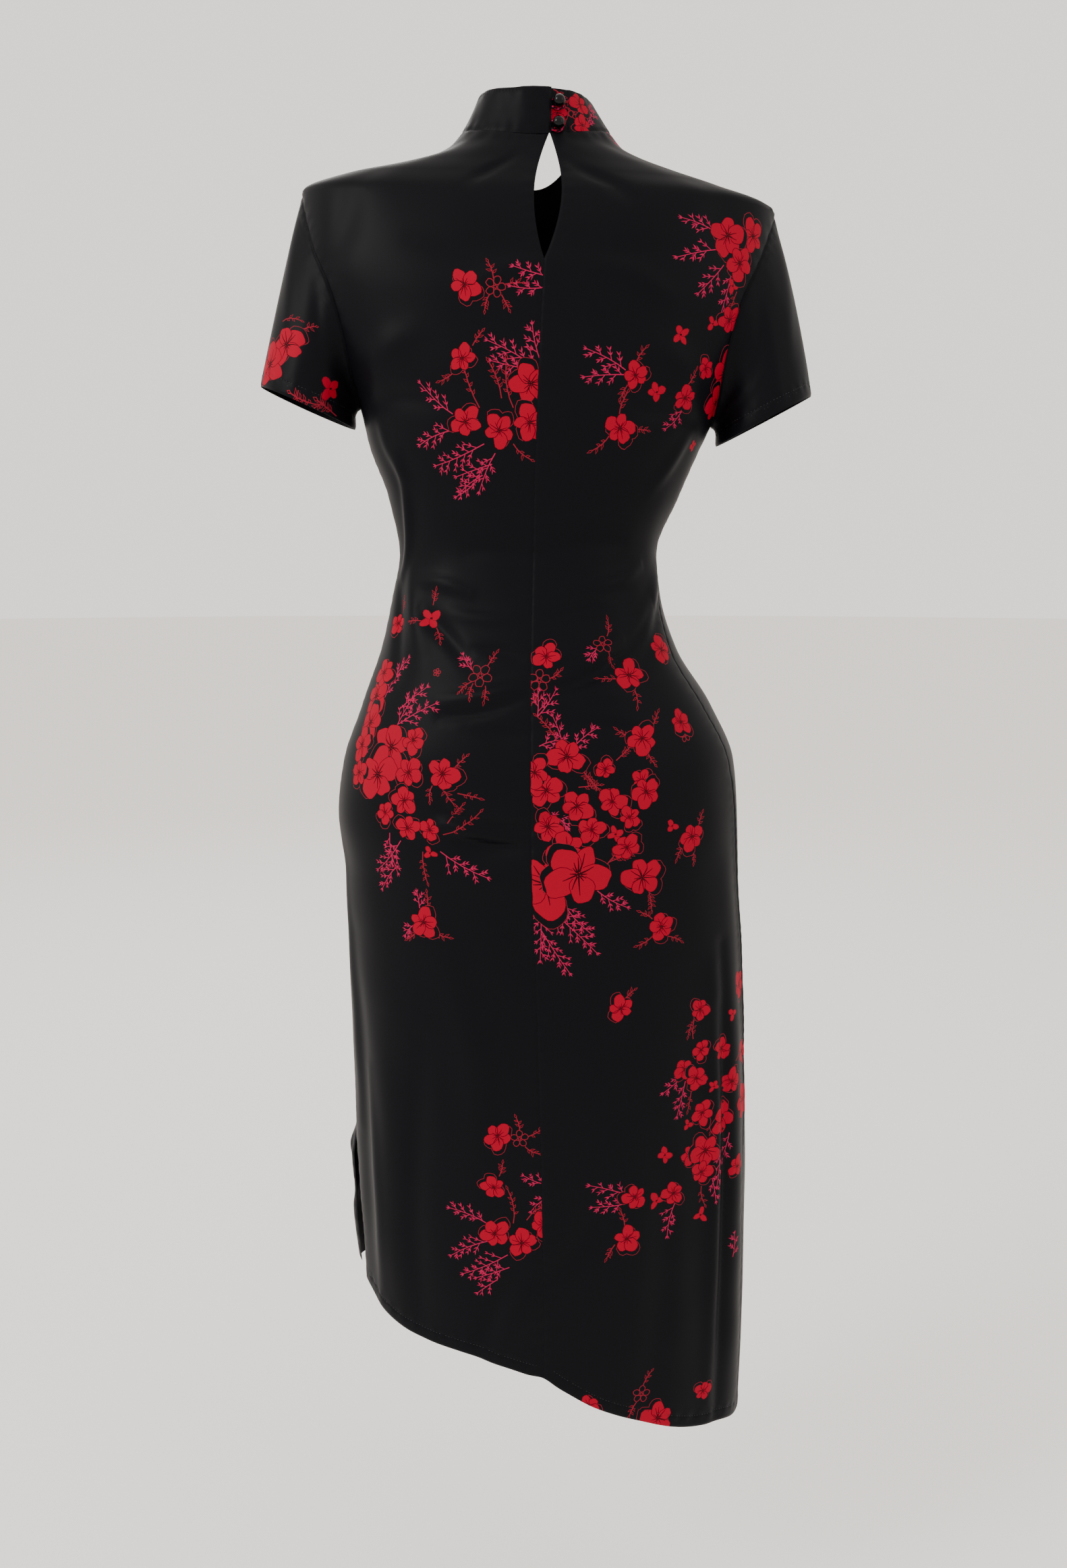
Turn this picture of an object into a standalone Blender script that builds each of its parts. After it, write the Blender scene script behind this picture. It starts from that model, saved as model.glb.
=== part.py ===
"""A knee-length cheongsam-style dress of thin crepe, filled out as if worn.

The back is +Y, the front -Y and the wearer's left +X. The origin is the centre of the neck,
level with the base of the collar at the sides. All sizes are in metres and angles in degrees.

Every piece lies on one surface, garment(angle, height). The angle goes round the body from the
left side (0) over the centre back (90) and the right side (180) to the centre front (270). The
height names a ring by its level at the centre back.
"""

import math
from collections import namedtuple

import bmesh
import bpy
import numpy as np
from mathutils import Matrix, Vector

# Cloth and seams
WALL = 0.0015
SEAM_GAP = 0.0003
ROUNDNESS = 0.08  # how much fuller than an ellipse the rings are

# Levels at the centre back
SLIT_TOP = -0.890
SLIT_LENGTH = 0.16
UNDERARM = -0.235
SHOULDER_TIP = -0.062
NECKLINE = -0.012
COLLAR_TOP = 0.024

# Armholes, keyhole, slit and collar ends
ARMHOLE_BACK = 0.054
ARMHOLE_FRONT = 0.060
KEYHOLE_BOTTOM = -0.121
KEYHOLE_WIDTH = 0.0225
SLIT_SPREAD = 0.026
COLLAR_EDGE_X = -0.0143  # the left end of the collar, which laps over the right one
COLLAR_LAP = 0.010
LAP_LIFT = 0.0022
LAP_EASE = 28.0  # degrees over which the lapping end comes back down to the neck

# Sleeves
CUFF_HALF_DEPTH = 0.054

# Buttons and loops
BALL_RADIUS = 0.005
SHANK_RADIUS = 0.0016
SHANK_LENGTH = 0.0006
CORD_RADIUS = 0.001
LOOP_RADIUS = 0.005
LOOP_LEG_RISE = 0.0034
BUTTON_X = -0.0196
BUTTON_HEIGHTS = {"upper": 0.0108, "lower": -0.0080}

# Mesh divisions
BACK_COLUMNS = 11
FRONT_COLUMNS = 21
ARMHOLE_STEPS = 9
SLEEVE_ROWS = 7
COLLAR_ROWS = 3
SKIRT_ROWS = 8
BODY_ROW_HEIGHTS = (
    -0.890, -0.840, -0.785, -0.730, -0.680, -0.640, -0.610, -0.580, -0.550, -0.520, -0.490,
    -0.467, -0.447, -0.429, -0.411, -0.393, -0.372, -0.345, -0.315, -0.284, -0.257,
)
SHOULDER_ROW_HEIGHTS = (-0.053, -0.045, -0.038, -0.032, -0.027, -0.022, -0.017)

# Rings of the body: half widths to the left and right, depths to the back and front
Ring = namedtuple("Ring", "height left right back front")
BODY_RINGS = (
    Ring(-1.240, 0.1600, 0.2015, 0.114, 0.104),
    Ring(-1.075, 0.1640, 0.2045, 0.115, 0.105),
    Ring(-0.950, 0.1680, 0.2040, 0.117, 0.106),
    Ring(-0.800, 0.1712, 0.1990, 0.120, 0.108),
    Ring(-0.694, 0.1735, 0.1930, 0.122, 0.110),
    Ring(-0.642, 0.1740, 0.1895, 0.1235, 0.112),
    Ring(-0.590, 0.1800, 0.1880, 0.125, 0.113),
    Ring(-0.540, 0.1735, 0.1830, 0.123, 0.114),
    Ring(-0.490, 0.1560, 0.1610, 0.114, 0.113),
    Ring(-0.440, 0.1380, 0.1300, 0.099, 0.108),
    Ring(-0.391, 0.1265, 0.1140, 0.085, 0.101),
    Ring(-0.354, 0.1205, 0.1105, 0.080, 0.098),
    Ring(-0.306, 0.1290, 0.1290, 0.085, 0.108),
    Ring(-0.262, 0.1450, 0.1480, 0.094, 0.1235),
)

# Rings of the shoulders and collar, whose sides and front have levels of their own
HighRing = namedtuple("HighRing", "height left_z right_z front_z left right back front")
HIGH_RINGS = (
    HighRing(-0.235, -0.2280, -0.2430, -0.236, 0.1530, 0.1570, 0.0980, 0.1310),
    HighRing(-0.190, -0.1860, -0.2000, -0.196, 0.1720, 0.1760, 0.1025, 0.1320),
    HighRing(-0.145, -0.1430, -0.1570, -0.155, 0.1900, 0.1950, 0.1030, 0.1200),
    HighRing(-0.100, -0.0990, -0.1130, -0.118, 0.2010, 0.2060, 0.0970, 0.1000),
    HighRing(-0.062, -0.0480, -0.0650, -0.094, 0.2000, 0.2090, 0.0850, 0.0830),
    HighRing(-0.046, -0.0360, -0.0510, -0.086, 0.1700, 0.1730, 0.0750, 0.0760),
    HighRing(-0.034, -0.0300, -0.0390, -0.081, 0.1300, 0.1340, 0.0675, 0.0710),
    HighRing(-0.024, -0.0245, -0.0270, -0.077, 0.0980, 0.1000, 0.0625, 0.0675),
    HighRing(-0.017, -0.0150, -0.0150, -0.073, 0.0760, 0.0785, 0.0590, 0.0655),
    HighRing(-0.012, 0.0000, -0.0010, -0.068, 0.0620, 0.0670, 0.0572, 0.0640),
    HighRing(0.004, 0.0130, 0.0110, -0.052, 0.0545, 0.0585, 0.0545, 0.0580),
    HighRing(0.024, 0.0300, 0.0240, -0.029, 0.0465, 0.0495, 0.0525, 0.0535),
    HighRing(0.034, 0.0385, 0.0305, -0.018, 0.0430, 0.0455, 0.0515, 0.0515),
)

# Where the seams run: the centre back's place across, and the side seams' turn to the back
SeamRow = namedtuple("SeamRow", "height centre_back left_turn right_turn")
SEAM_ROWS = (
    SeamRow(-1.240, -0.0080, 2.0, 15.0),
    SeamRow(-1.068, -0.0090, 2.0, 15.0),
    SeamRow(-0.964, -0.0080, 2.0, 17.0),
    SeamRow(-0.753, -0.0030, 2.0, 15.0),
    SeamRow(-0.568, 0.0023, 2.0, 18.0),
    SeamRow(-0.450, 0.0022, 2.0, 24.0),
    SeamRow(-0.361, 0.0006, 2.0, 9.0),
    SeamRow(-0.289, -0.0011, 1.0, 4.0),
    SeamRow(-0.235, -0.0030, 0.0, 0.0),
    SeamRow(-0.165, -0.0060, 0.0, 0.0),
    SeamRow(-0.062, -0.0118, 0.0, 0.0),
    SeamRow(-0.012, -0.0132, 0.0, 0.0),
    SeamRow(0.024, -0.0143, 0.0, 0.0),
)

# Back and front hem: height against the place across
HemPoint = namedtuple("HemPoint", "across height")
HEM = (
    HemPoint(-0.205, -1.184),
    HemPoint(-0.180, -1.170),
    HemPoint(-0.150, -1.163),
    HemPoint(-0.104, -1.146),
    HemPoint(-0.057, -1.126),
    HemPoint(-0.020, -1.103),
    HemPoint(0.010, -1.089),
    HemPoint(0.051, -1.075),
    HemPoint(0.110, -1.063),
    HemPoint(0.137, -1.052),
    HemPoint(0.155, -1.042),
    HemPoint(0.170, -1.036),
)

# The largest folds: a ridge, or a trough where the lift is negative, from one place to another
Fold = namedtuple("Fold", "from_angle from_height to_angle to_height half_width lift")
FOLDS = (
    Fold(165, -0.372, 128, -0.441, 0.011, 0.0040),
    Fold(158, -0.402, 120, -0.462, 0.010, -0.0030),
    Fold(30, -0.366, 50, -0.448, 0.013, 0.0030),
    Fold(22, -0.385, 38, -0.462, 0.010, -0.0025),
    Fold(74, -0.478, 89, -0.470, 0.009, 0.0025),
    Fold(104, -0.474, 124, -0.468, 0.009, 0.0025),
    Fold(70, -0.610, 92, -0.588, 0.014, -0.0030),
    Fold(22, -0.700, 26, -1.030, 0.020, -0.0040),
    Fold(44, -0.760, 40, -1.060, 0.024, 0.0035),
    Fold(93, -0.980, 76, -1.085, 0.018, 0.0040),
    Fold(132, -0.700, 138, -1.150, 0.022, -0.0035),
    Fold(154, -0.640, 156, -1.180, 0.020, 0.0035),
    Fold(234, -0.700, 228, -1.160, 0.026, 0.0040),
    Fold(262, -0.640, 266, -1.110, 0.024, -0.0040),
    Fold(304, -0.720, 312, -1.060, 0.026, 0.0040),
    Fold(205, -0.384, 232, -0.440, 0.012, 0.0035),
    Fold(338, -0.382, 312, -0.446, 0.012, 0.0035),
    Fold(-2, -0.912, -4, -1.060, 0.017, 0.0095),
    Fold(-2, -0.926, -12, -0.918, 0.016, 0.0075),
    Fold(0, -0.968, -10, -0.962, 0.013, -0.0040),
)
FOLD_RADIUS = 0.150  # turns a fold's angles into lengths

MATERIALS = {
    "cloth": ((0.010, 0.010, 0.013, 1.0), 0.62, 0.0),
    "printed cloth": ((0.045, 0.006, 0.010, 1.0), 0.62, 0.0),
    "gloss black": ((0.004, 0.004, 0.005, 1.0), 0.08, 0.0),
}


def smooth_curve(places, values, at):
    """A monotone cubic through the values, read at the given places."""
    x = np.asarray(places, float)
    y = np.asarray(values, float)
    step = np.diff(x)
    slope = np.diff(y) / step
    tangent = np.zeros_like(y)
    tangent[0], tangent[-1] = slope[0], slope[-1]
    for i in range(1, len(x) - 1):
        if slope[i - 1] * slope[i] > 0:
            before = 2 * step[i] + step[i - 1]
            after = step[i] + 2 * step[i - 1]
            tangent[i] = (before + after) / (before / slope[i - 1] + after / slope[i])
    at = np.clip(np.asarray(at, float), x[0], x[-1])
    i = np.clip(np.searchsorted(x, at, side="right") - 1, 0, len(x) - 2)
    s = (at - x[i]) / step[i]
    return (
        y[i] * (1 + 2 * s) * (1 - s) ** 2
        + tangent[i] * step[i] * s * (1 - s) ** 2
        + y[i + 1] * s * s * (3 - 2 * s)
        + tangent[i + 1] * step[i] * s * s * (s - 1)
    )


def all_rings():
    """Every ring as a HighRing, lowest first."""
    low = [
        HighRing(r.height, r.height, r.height, r.height, r.left, r.right, r.back, r.front)
        for r in BODY_RINGS
    ]
    return low + list(HIGH_RINGS)


RINGS = all_rings()


def ring_value(name, height):
    return smooth_curve([r.height for r in RINGS], [getattr(r, name) for r in RINGS], height)


def seam_value(name, height):
    return smooth_curve(
        [r.height for r in SEAM_ROWS], [getattr(r, name) for r in SEAM_ROWS], height
    )


def fold_lift(angle, height):
    """How far the folds lift the cloth at a place."""
    lift = np.zeros(np.broadcast(angle, height).shape)
    for fold in FOLDS:
        turn = (angle - fold.from_angle + 180) % 360 - 180
        across = np.radians(turn) * FOLD_RADIUS
        up = height - fold.from_height
        end = (
            math.radians(fold.to_angle - fold.from_angle) * FOLD_RADIUS,
            fold.to_height - fold.from_height,
        )
        length = math.hypot(*end)
        along = np.clip((across * end[0] + up * end[1]) / length, 0, length)
        away = np.hypot(across - along * end[0] / length, up - along * end[1] / length)
        taper = 0.35 + 0.65 * np.sin(np.pi * along / length)
        lift = lift + fold.lift * taper * np.exp(-((away / fold.half_width) ** 2))
    return lift


def plain_garment(angle, height):
    """The surface without folds, as an array of points."""
    angle, height = np.broadcast_arrays(np.asarray(angle, float), np.asarray(height, float))
    c = np.cos(np.radians(angle))
    s = np.sin(np.radians(angle))
    wide = np.where(c > 0, ring_value("left", height), ring_value("right", height))
    deep = np.where(s > 0, ring_value("back", height), ring_value("front", height))
    side_z = np.where(c > 0, ring_value("left_z", height), ring_value("right_z", height))
    end_z = np.where(s > 0, height, ring_value("front_z", height))
    x = wide * c * (1 + ROUNDNESS * s * s)
    y = deep * s * (1 + ROUNDNESS * c * c)
    z = side_z * c * c + end_z * s * s
    return np.stack([x, y, z], axis=-1)


def surface_frame(surface, angle, height):
    """The surface's points, outward normals and unit directions round and up."""
    turn, rise = 0.2, 0.0004
    points = surface(angle, height)
    round_way = surface(angle + turn, height) - surface(angle - turn, height)
    up_way = surface(angle, height + rise) - surface(angle, height - rise)
    normal = np.cross(round_way, up_way)
    normal /= np.linalg.norm(normal, axis=-1, keepdims=True)
    round_way /= np.linalg.norm(round_way, axis=-1, keepdims=True)
    up_way /= np.linalg.norm(up_way, axis=-1, keepdims=True)
    return points, normal, round_way, up_way


def garment(angle, height):
    """The surface with its folds."""
    points, normal, _, _ = surface_frame(plain_garment, angle, height)
    return points + normal * fold_lift(angle, height)[..., None]


def metres_per_degree(angle, height):
    ahead = plain_garment(angle + 0.1, height)
    behind = plain_garment(angle - 0.1, height)
    return np.linalg.norm(ahead - behind, axis=-1) / 0.2


def metres_per_height(angle, height):
    above = plain_garment(angle, height + 0.0002)
    below = plain_garment(angle, height - 0.0002)
    return np.linalg.norm(above - below, axis=-1) / 0.0004


def angle_at_x(x, height):
    """The back's angle at a place across."""
    c = np.zeros(np.broadcast(x, height).shape)
    for _ in range(5):
        wide = np.where(np.asarray(x) > 0, ring_value("left", height), ring_value("right", height))
        c = x / (wide * (1 + ROUNDNESS * (1 - c * c)))
    return np.degrees(np.arccos(c))


def turn_at_depth(depth, height, side):
    """How many degrees from the side a ring reaches a depth towards the back or front."""
    deep = ring_value(side, height)
    s = np.zeros_like(deep)
    for _ in range(5):
        s = depth / (deep * (1 + ROUNDNESS * (1 - s * s)))
    return np.degrees(np.arcsin(s))


def hem_height(across):
    return smooth_curve([p.across for p in HEM], [p.height for p in HEM], across)


def armhole_share(height):
    """How far up the armhole a ring is, from 0 at the underarm to 1 at the shoulder tip."""
    return np.clip((height - UNDERARM) / (SHOULDER_TIP - UNDERARM), 0, 1)


def armhole_turn(height, side):
    """Degrees from the side to the edge of the armhole."""
    opening = ARMHOLE_BACK if side == "back" else ARMHOLE_FRONT
    shape = np.sin(np.pi * armhole_share(height)) ** 0.6
    return turn_at_depth(opening * shape, height, side)


def keyhole_half_width(height):
    share = np.clip((NECKLINE - height) / (NECKLINE - KEYHOLE_BOTTOM), 0, 1)
    return KEYHOLE_WIDTH / 2 * np.sin(np.pi * share) ** 0.9


def slit_turn(height):
    """Degrees that the back panel's slit edge stands off the side seam."""
    share = np.clip((SLIT_TOP - height) / SLIT_LENGTH, 0, 1)
    spread = SLIT_SPREAD * (1 - (1 - share) ** 2)
    return np.degrees(spread / ring_value("back", height))


def row_heights():
    """The heights of the rows above the slit's top, shared by all panels."""
    share = (1 - np.cos(np.pi * np.arange(ARMHOLE_STEPS + 1) / ARMHOLE_STEPS)) / 2
    armhole = UNDERARM + (SHOULDER_TIP - UNDERARM) * share
    return np.concatenate([BODY_ROW_HEIGHTS, armhole, SHOULDER_ROW_HEIGHTS, [NECKLINE]])


def panel(first_edge, last_edge, columns, first_gap, last_gap):
    """Angles and heights of a panel's grid, rows from the hem up.

    first_edge and last_edge give the angles of the panel's upright edges at each height. The
    gaps are what each edge keeps off its seam, in metres, with the sign of the panel's side.
    """
    upper = row_heights()
    share = np.linspace(0, 1, columns + 1)

    def angles(height):
        first = first_edge(height) + first_gap / metres_per_degree(first_edge(height), height)
        last = last_edge(height) + last_gap / metres_per_degree(last_edge(height), height)
        return first[..., None] * (1 - share) + last[..., None] * share

    upper_angles = angles(upper)
    upper_heights = np.repeat(upper[:, None], columns + 1, axis=1)
    upper_heights[-1] -= SEAM_GAP / 2 / metres_per_height(upper_angles[-1], NECKLINE)
    hem = hem_height(plain_garment(angles(np.array([-1.10]))[0], -1.10)[:, 0])
    lower = np.arange(SKIRT_ROWS) / SKIRT_ROWS
    lower_heights = hem + (SLIT_TOP - hem) * lower[:, None]
    lower_angles = np.array([
        [angles(np.array([h]))[0][i] for i, h in enumerate(row)] for row in lower_heights
    ])
    return np.vstack([lower_angles, upper_angles]), np.vstack([lower_heights, upper_heights])


def centre_back(height, side):
    """The angle of a back panel's centre edge, opened at the keyhole."""
    x = seam_value("centre_back", height) + side * keyhole_half_width(height)
    return angle_at_x(x, height)


def left_side(height, face):
    """The angle of the left side seam, armhole edge or shoulder seam."""
    if face == "back":
        return (
            seam_value("left_turn", height) + armhole_turn(height, "back") + slit_turn(height)
        )
    return seam_value("left_turn", height) - armhole_turn(height, "front")


def right_side(height, face):
    if face == "back":
        return 180 - seam_value("right_turn", height) - armhole_turn(height, "back")
    return 180 - seam_value("right_turn", height) + armhole_turn(height, "front")


def new_object(name, mesh, look):
    color, roughness, metallic = MATERIALS[look]
    material = bpy.data.materials.new(f"{name} {look}")
    material.use_nodes = True
    shader = material.node_tree.nodes["Principled BSDF"]
    shader.inputs["Base Color"].default_value = color
    shader.inputs["Roughness"].default_value = roughness
    shader.inputs["Metallic"].default_value = metallic
    mesh.materials.append(material)
    made = bpy.data.objects.new(name, mesh)
    bpy.context.scene.collection.objects.link(made)
    return made


def wall(name, points, normals, look, closed=False):
    """A closed wall of cloth round a grid of points, which may close on itself sideways."""
    rows, columns = points.shape[:2]
    outer = (points + normals * WALL / 2).reshape(-1, 3)
    inner = (points - normals * WALL / 2).reshape(-1, 3)
    size = rows * columns
    spans = columns if closed else columns - 1

    def at(row, column, layer):
        return layer * size + row * columns + column % columns

    faces = []
    for r in range(rows - 1):
        for c in range(spans):
            corners = ((r, c), (r, c + 1), (r + 1, c + 1), (r + 1, c))
            faces.append([at(*corner, 0) for corner in corners])
            faces.append([at(*corner, 1) for corner in reversed(corners)])
    for c in range(spans):
        for r, ends in ((0, (c + 1, c)), (rows - 1, (c, c + 1))):
            a, b = ends
            faces.append([at(r, a, 0), at(r, b, 0), at(r, b, 1), at(r, a, 1)])
    if not closed:
        for r in range(rows - 1):
            for c, ends in ((0, (r, r + 1)), (columns - 1, (r + 1, r))):
                a, b = ends
                faces.append([at(a, c, 0), at(b, c, 0), at(b, c, 1), at(a, c, 1)])
    mesh = bpy.data.meshes.new(name)
    mesh.from_pydata(np.vstack([outer, inner]).tolist(), [], faces)
    solid = bmesh.new()
    solid.from_mesh(mesh)
    if solid.calc_volume(signed=True) < 0:
        bmesh.ops.reverse_faces(solid, faces=solid.faces)
    solid.to_mesh(mesh)
    solid.free()
    mesh.shade_smooth()
    mesh.set_sharp_from_angle(angle=math.radians(50))
    return new_object(name, mesh, look)


def cloth_on_garment(name, angles, heights, look):
    points, normals, _, _ = surface_frame(garment, angles, heights)
    return wall(name, points, normals, look)


def back_panels():
    gap = SEAM_GAP / 2
    left = panel(
        lambda h: centre_back(h, 1), lambda h: left_side(h, "back"), BACK_COLUMNS, -gap, gap
    )
    right = panel(
        lambda h: centre_back(h, -1), lambda h: right_side(h, "back"), BACK_COLUMNS, gap, -gap
    )
    cloth_on_garment("back_left", *left, "cloth")
    cloth_on_garment("back_right", *right, "cloth")


def front_panel():
    gap = SEAM_GAP / 2
    grid = panel(
        lambda h: right_side(h, "front"),
        lambda h: 360 + left_side(h, "front"),
        FRONT_COLUMNS,
        gap,
        -gap,
    )
    cloth_on_garment("front", *grid, "printed cloth")


def collar():
    """A stand collar cut in one, whose left end laps over its right end at the back."""
    shares = np.linspace(0, 1, COLLAR_ROWS + 1)
    points, normals = [], []
    for share in shares:
        height = NECKLINE + (COLLAR_TOP - NECKLINE) * share
        edge = float(angle_at_x(COLLAR_EDGE_X, height))
        under = edge - COLLAR_LAP / float(metres_per_degree(edge, height))
        angles = np.concatenate([
            [under, (under + edge) / 2],
            np.linspace(edge, 180, BACK_COLUMNS + 1)[:-1],
            np.linspace(180, 360, FRONT_COLUMNS + 1)[:-1],
            np.linspace(360, 360 + edge, BACK_COLUMNS + 1),
        ])
        heights = height + (1 - share) * SEAM_GAP / 2 / metres_per_height(angles, NECKLINE)
        row_points, row_normals, _, _ = surface_frame(garment, angles, heights)
        held = edge - under + 3
        ease = np.clip(1 - (edge + 360 - angles - held) / LAP_EASE, 0, 1)
        lift = LAP_LIFT * ease * ease * (3 - 2 * ease)
        points.append(row_points + row_normals * lift[:, None])
        normals.append(row_normals)
    wall("collar", np.array(points), np.array(normals), "printed cloth")


def sleeve(name, side):
    """A set-in sleeve: side is 1 for the left one and -1 for the right one."""
    steps = np.arange(2 * ARMHOLE_STEPS)
    share = (1 - np.cos(np.pi * steps / ARMHOLE_STEPS)) / 2
    heights = UNDERARM + (SHOULDER_TIP - UNDERARM) * share
    on_back = steps <= ARMHOLE_STEPS
    turn = np.where(on_back, armhole_turn(heights, "back"), -armhole_turn(heights, "front"))
    angles = turn if side > 0 else 180 - turn
    start, normal, _, _ = surface_frame(garment, angles, heights)
    loop = np.roll(start, -1, axis=0) - np.roll(start, 1, axis=0)
    loop /= np.linalg.norm(loop, axis=-1, keepdims=True)
    inward = np.cross(loop, normal)
    middle = start.mean(axis=0)
    inward *= np.sign(((middle - start) * inward).sum(axis=-1, keepdims=True))

    # The cloth leaves the seam straight out at the underarm and along the shoulder at the tip.
    tip = share ** 0.7
    turn_out = np.radians(78) * tip
    leave = normal * np.cos(turn_out)[:, None] + inward * np.sin(turn_out)[:, None]
    offset = SEAM_GAP + WALL / 2 * np.cos(turn_out)
    start = start + inward * offset[:, None]

    cuff = SLEEVES[name]
    around = np.pi * steps / ARMHOLE_STEPS
    low = np.array([cuff.inner_x * side, cuff.centre_y, cuff.inner_z])
    high = np.array([cuff.outer_x * side, cuff.centre_y, cuff.outer_z])
    half = (high - low) / 2
    end = (
        (low + high) / 2
        - np.cos(around)[:, None] * half
        + np.sin(around)[:, None] * np.array([0, CUFF_HALF_DEPTH, 0])
    )
    arrive = np.array([cuff.lean * side, 0, -1.0])
    arrive /= np.linalg.norm(arrive)

    span = np.linalg.norm(end - start, axis=-1)
    first = start + leave * (0.008 + 0.10 * span + cuff.puff * tip)[:, None]
    second = end - arrive * (0.30 * span)[:, None]
    rows = np.linspace(0, 1, SLEEVE_ROWS + 1)[:, None, None] ** 1.25
    points = (
        start * (1 - rows) ** 3
        + 3 * first * rows * (1 - rows) ** 2
        + 3 * second * rows ** 2 * (1 - rows)
        + end * rows ** 3
    )
    down = np.gradient(points, axis=0)
    across = np.roll(points, -1, axis=1) - np.roll(points, 1, axis=1)
    normals = np.cross(across, down)
    normals /= np.linalg.norm(normals, axis=-1, keepdims=True)
    centre = points.mean(axis=1, keepdims=True)
    if ((points - centre) * normals).sum() < 0:
        normals = -normals
    wall(name, points, normals, "cloth", closed=True)


# The cuff's ends, how far it leans out, and how far the sleeve's head stands out
Cuff = namedtuple("Cuff", "inner_x inner_z outer_x outer_z centre_y lean puff")
SLEEVES = {
    "sleeve_left": Cuff(0.160, -0.245, 0.2405, -0.210, 0.002, 0.22, 0.0),
    "sleeve_right": Cuff(0.164, -0.260, 0.2450, -0.218, 0.002, 0.14, 0.018),
}


def collar_spot(x, height):
    """A place on the collar: its point, outward normal and the way round."""
    angle = angle_at_x(x, height)
    point, normal, round_way, _ = surface_frame(garment, angle, height)
    return Vector(point), Vector(normal), Vector(round_way)


def ball_button(name, height):
    """A ball on a short shank, turned round the collar's normal."""
    point, normal, round_way = collar_spot(BUTTON_X, height)
    foot = WALL / 2 + SEAM_GAP
    centre = foot + SHANK_LENGTH + BALL_RADIUS
    first = math.asin(SHANK_RADIUS / BALL_RADIUS)
    profile = [(0.0, foot), (SHANK_RADIUS, foot)]
    for step in range(9):
        bend = first + (math.pi - first) * step / 8
        profile.append((BALL_RADIUS * math.sin(bend), centre - BALL_RADIUS * math.cos(bend)))
    shape = bmesh.new()
    chain = [shape.verts.new((r, 0, z)) for r, z in profile]
    edges = [shape.edges.new(pair) for pair in zip(chain, chain[1:])]
    bmesh.ops.spin(
        shape, geom=chain + edges, cent=(0, 0, 0), axis=(0, 0, 1), angle=2 * math.pi, steps=16
    )
    bmesh.ops.remove_doubles(shape, verts=shape.verts, dist=0.00001)
    bmesh.ops.recalc_face_normals(shape, faces=shape.faces)
    mesh = bpy.data.meshes.new(name)
    shape.to_mesh(mesh)
    shape.free()
    mesh.shade_smooth()
    mesh.set_sharp_from_angle(angle=math.radians(50))
    button = new_object(name, mesh, "gloss black")
    side_way = normal.cross(round_way)
    turned = Matrix((round_way, side_way, normal)).transposed().to_4x4()
    button.matrix_world = Matrix.Translation(point) @ turned


def button_loop(name, height):
    """A cord that comes out from under the collar's lap, round the ball and back."""
    reach = COLLAR_EDGE_X - BUTTON_X - SEAM_GAP
    opened = math.asin(LOOP_LEG_RISE / LOOP_RADIUS)
    route = [(reach, LOOP_LEG_RISE)]
    for step in range(13):
        bend = opened + (2 * math.pi - 2 * opened) * step / 12
        route.append((LOOP_RADIUS * math.cos(bend), LOOP_RADIUS * math.sin(bend)))
    route.append((reach, -LOOP_LEG_RISE))
    per_height = float(metres_per_height(angle_at_x(BUTTON_X, height), height))
    curve = bpy.data.curves.new(name, "CURVE")
    curve.dimensions = "3D"
    curve.bevel_depth = CORD_RADIUS
    curve.bevel_resolution = 1
    curve.use_fill_caps = True
    line = curve.splines.new("POLY")
    line.points.add(len(route) - 1)
    lift = WALL / 2 + SEAM_GAP + CORD_RADIUS * 1.04
    for place, (along, up) in zip(line.points, route):
        spot, normal, _ = collar_spot(BUTTON_X + along, height + up / per_height)
        place.co = (*(spot + normal * lift), 1.0)
    new_object(name, curve, "printed cloth")


def clear_scene():
    for leftover in list(bpy.data.objects):
        bpy.data.objects.remove(leftover, do_unlink=True)


def main():
    clear_scene()
    back_panels()
    front_panel()
    sleeve("sleeve_left", 1)
    sleeve("sleeve_right", -1)
    collar()
    for level, height in BUTTON_HEIGHTS.items():
        ball_button(f"button_{level}", height)
        button_loop(f"loop_{level}", height)


main()
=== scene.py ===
"""The cheongsam-style dress as it looks: printed black crepe on the form of its solids.

Metres and degrees throughout, in the part's own frame: the back is +Y, the wearer's left +X and
the origin the centre of the neck. The body's cloth lies on one surface, garment(angle, height):
the angle goes round from the left side (0) over the centre back (90) and the right side (180) to
the centre front (270), and the height names a ring by its level at the centre back.
"""

import math
import random
from collections import namedtuple

import bpy
import numpy as np
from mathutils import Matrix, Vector, kdtree
from mathutils.geometry import delaunay_2d_cdt


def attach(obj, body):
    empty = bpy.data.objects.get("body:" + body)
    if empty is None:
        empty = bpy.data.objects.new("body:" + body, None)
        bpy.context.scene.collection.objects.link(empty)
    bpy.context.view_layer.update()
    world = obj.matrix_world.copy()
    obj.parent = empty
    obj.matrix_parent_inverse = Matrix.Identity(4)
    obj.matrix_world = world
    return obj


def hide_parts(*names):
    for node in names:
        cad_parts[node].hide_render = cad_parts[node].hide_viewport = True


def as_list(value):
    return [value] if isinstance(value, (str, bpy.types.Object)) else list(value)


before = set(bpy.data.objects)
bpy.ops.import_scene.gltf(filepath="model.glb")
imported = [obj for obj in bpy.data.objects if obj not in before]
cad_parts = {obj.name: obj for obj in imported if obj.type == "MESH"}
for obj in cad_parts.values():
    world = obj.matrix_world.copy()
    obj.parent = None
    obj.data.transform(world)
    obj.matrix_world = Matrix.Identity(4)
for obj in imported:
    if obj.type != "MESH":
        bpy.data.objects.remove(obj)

# Sizes that the solids share
WALL = 0.0015
SEAM_GAP = 0.0003
ROUNDNESS = 0.08
SLIT_TOP = -0.890
SLIT_LENGTH = 0.16
UNDERARM = -0.235
SHOULDER_TIP = -0.062
NECKLINE = -0.012
COLLAR_TOP = 0.024
ARMHOLE_BACK = 0.054
ARMHOLE_FRONT = 0.060
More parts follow.
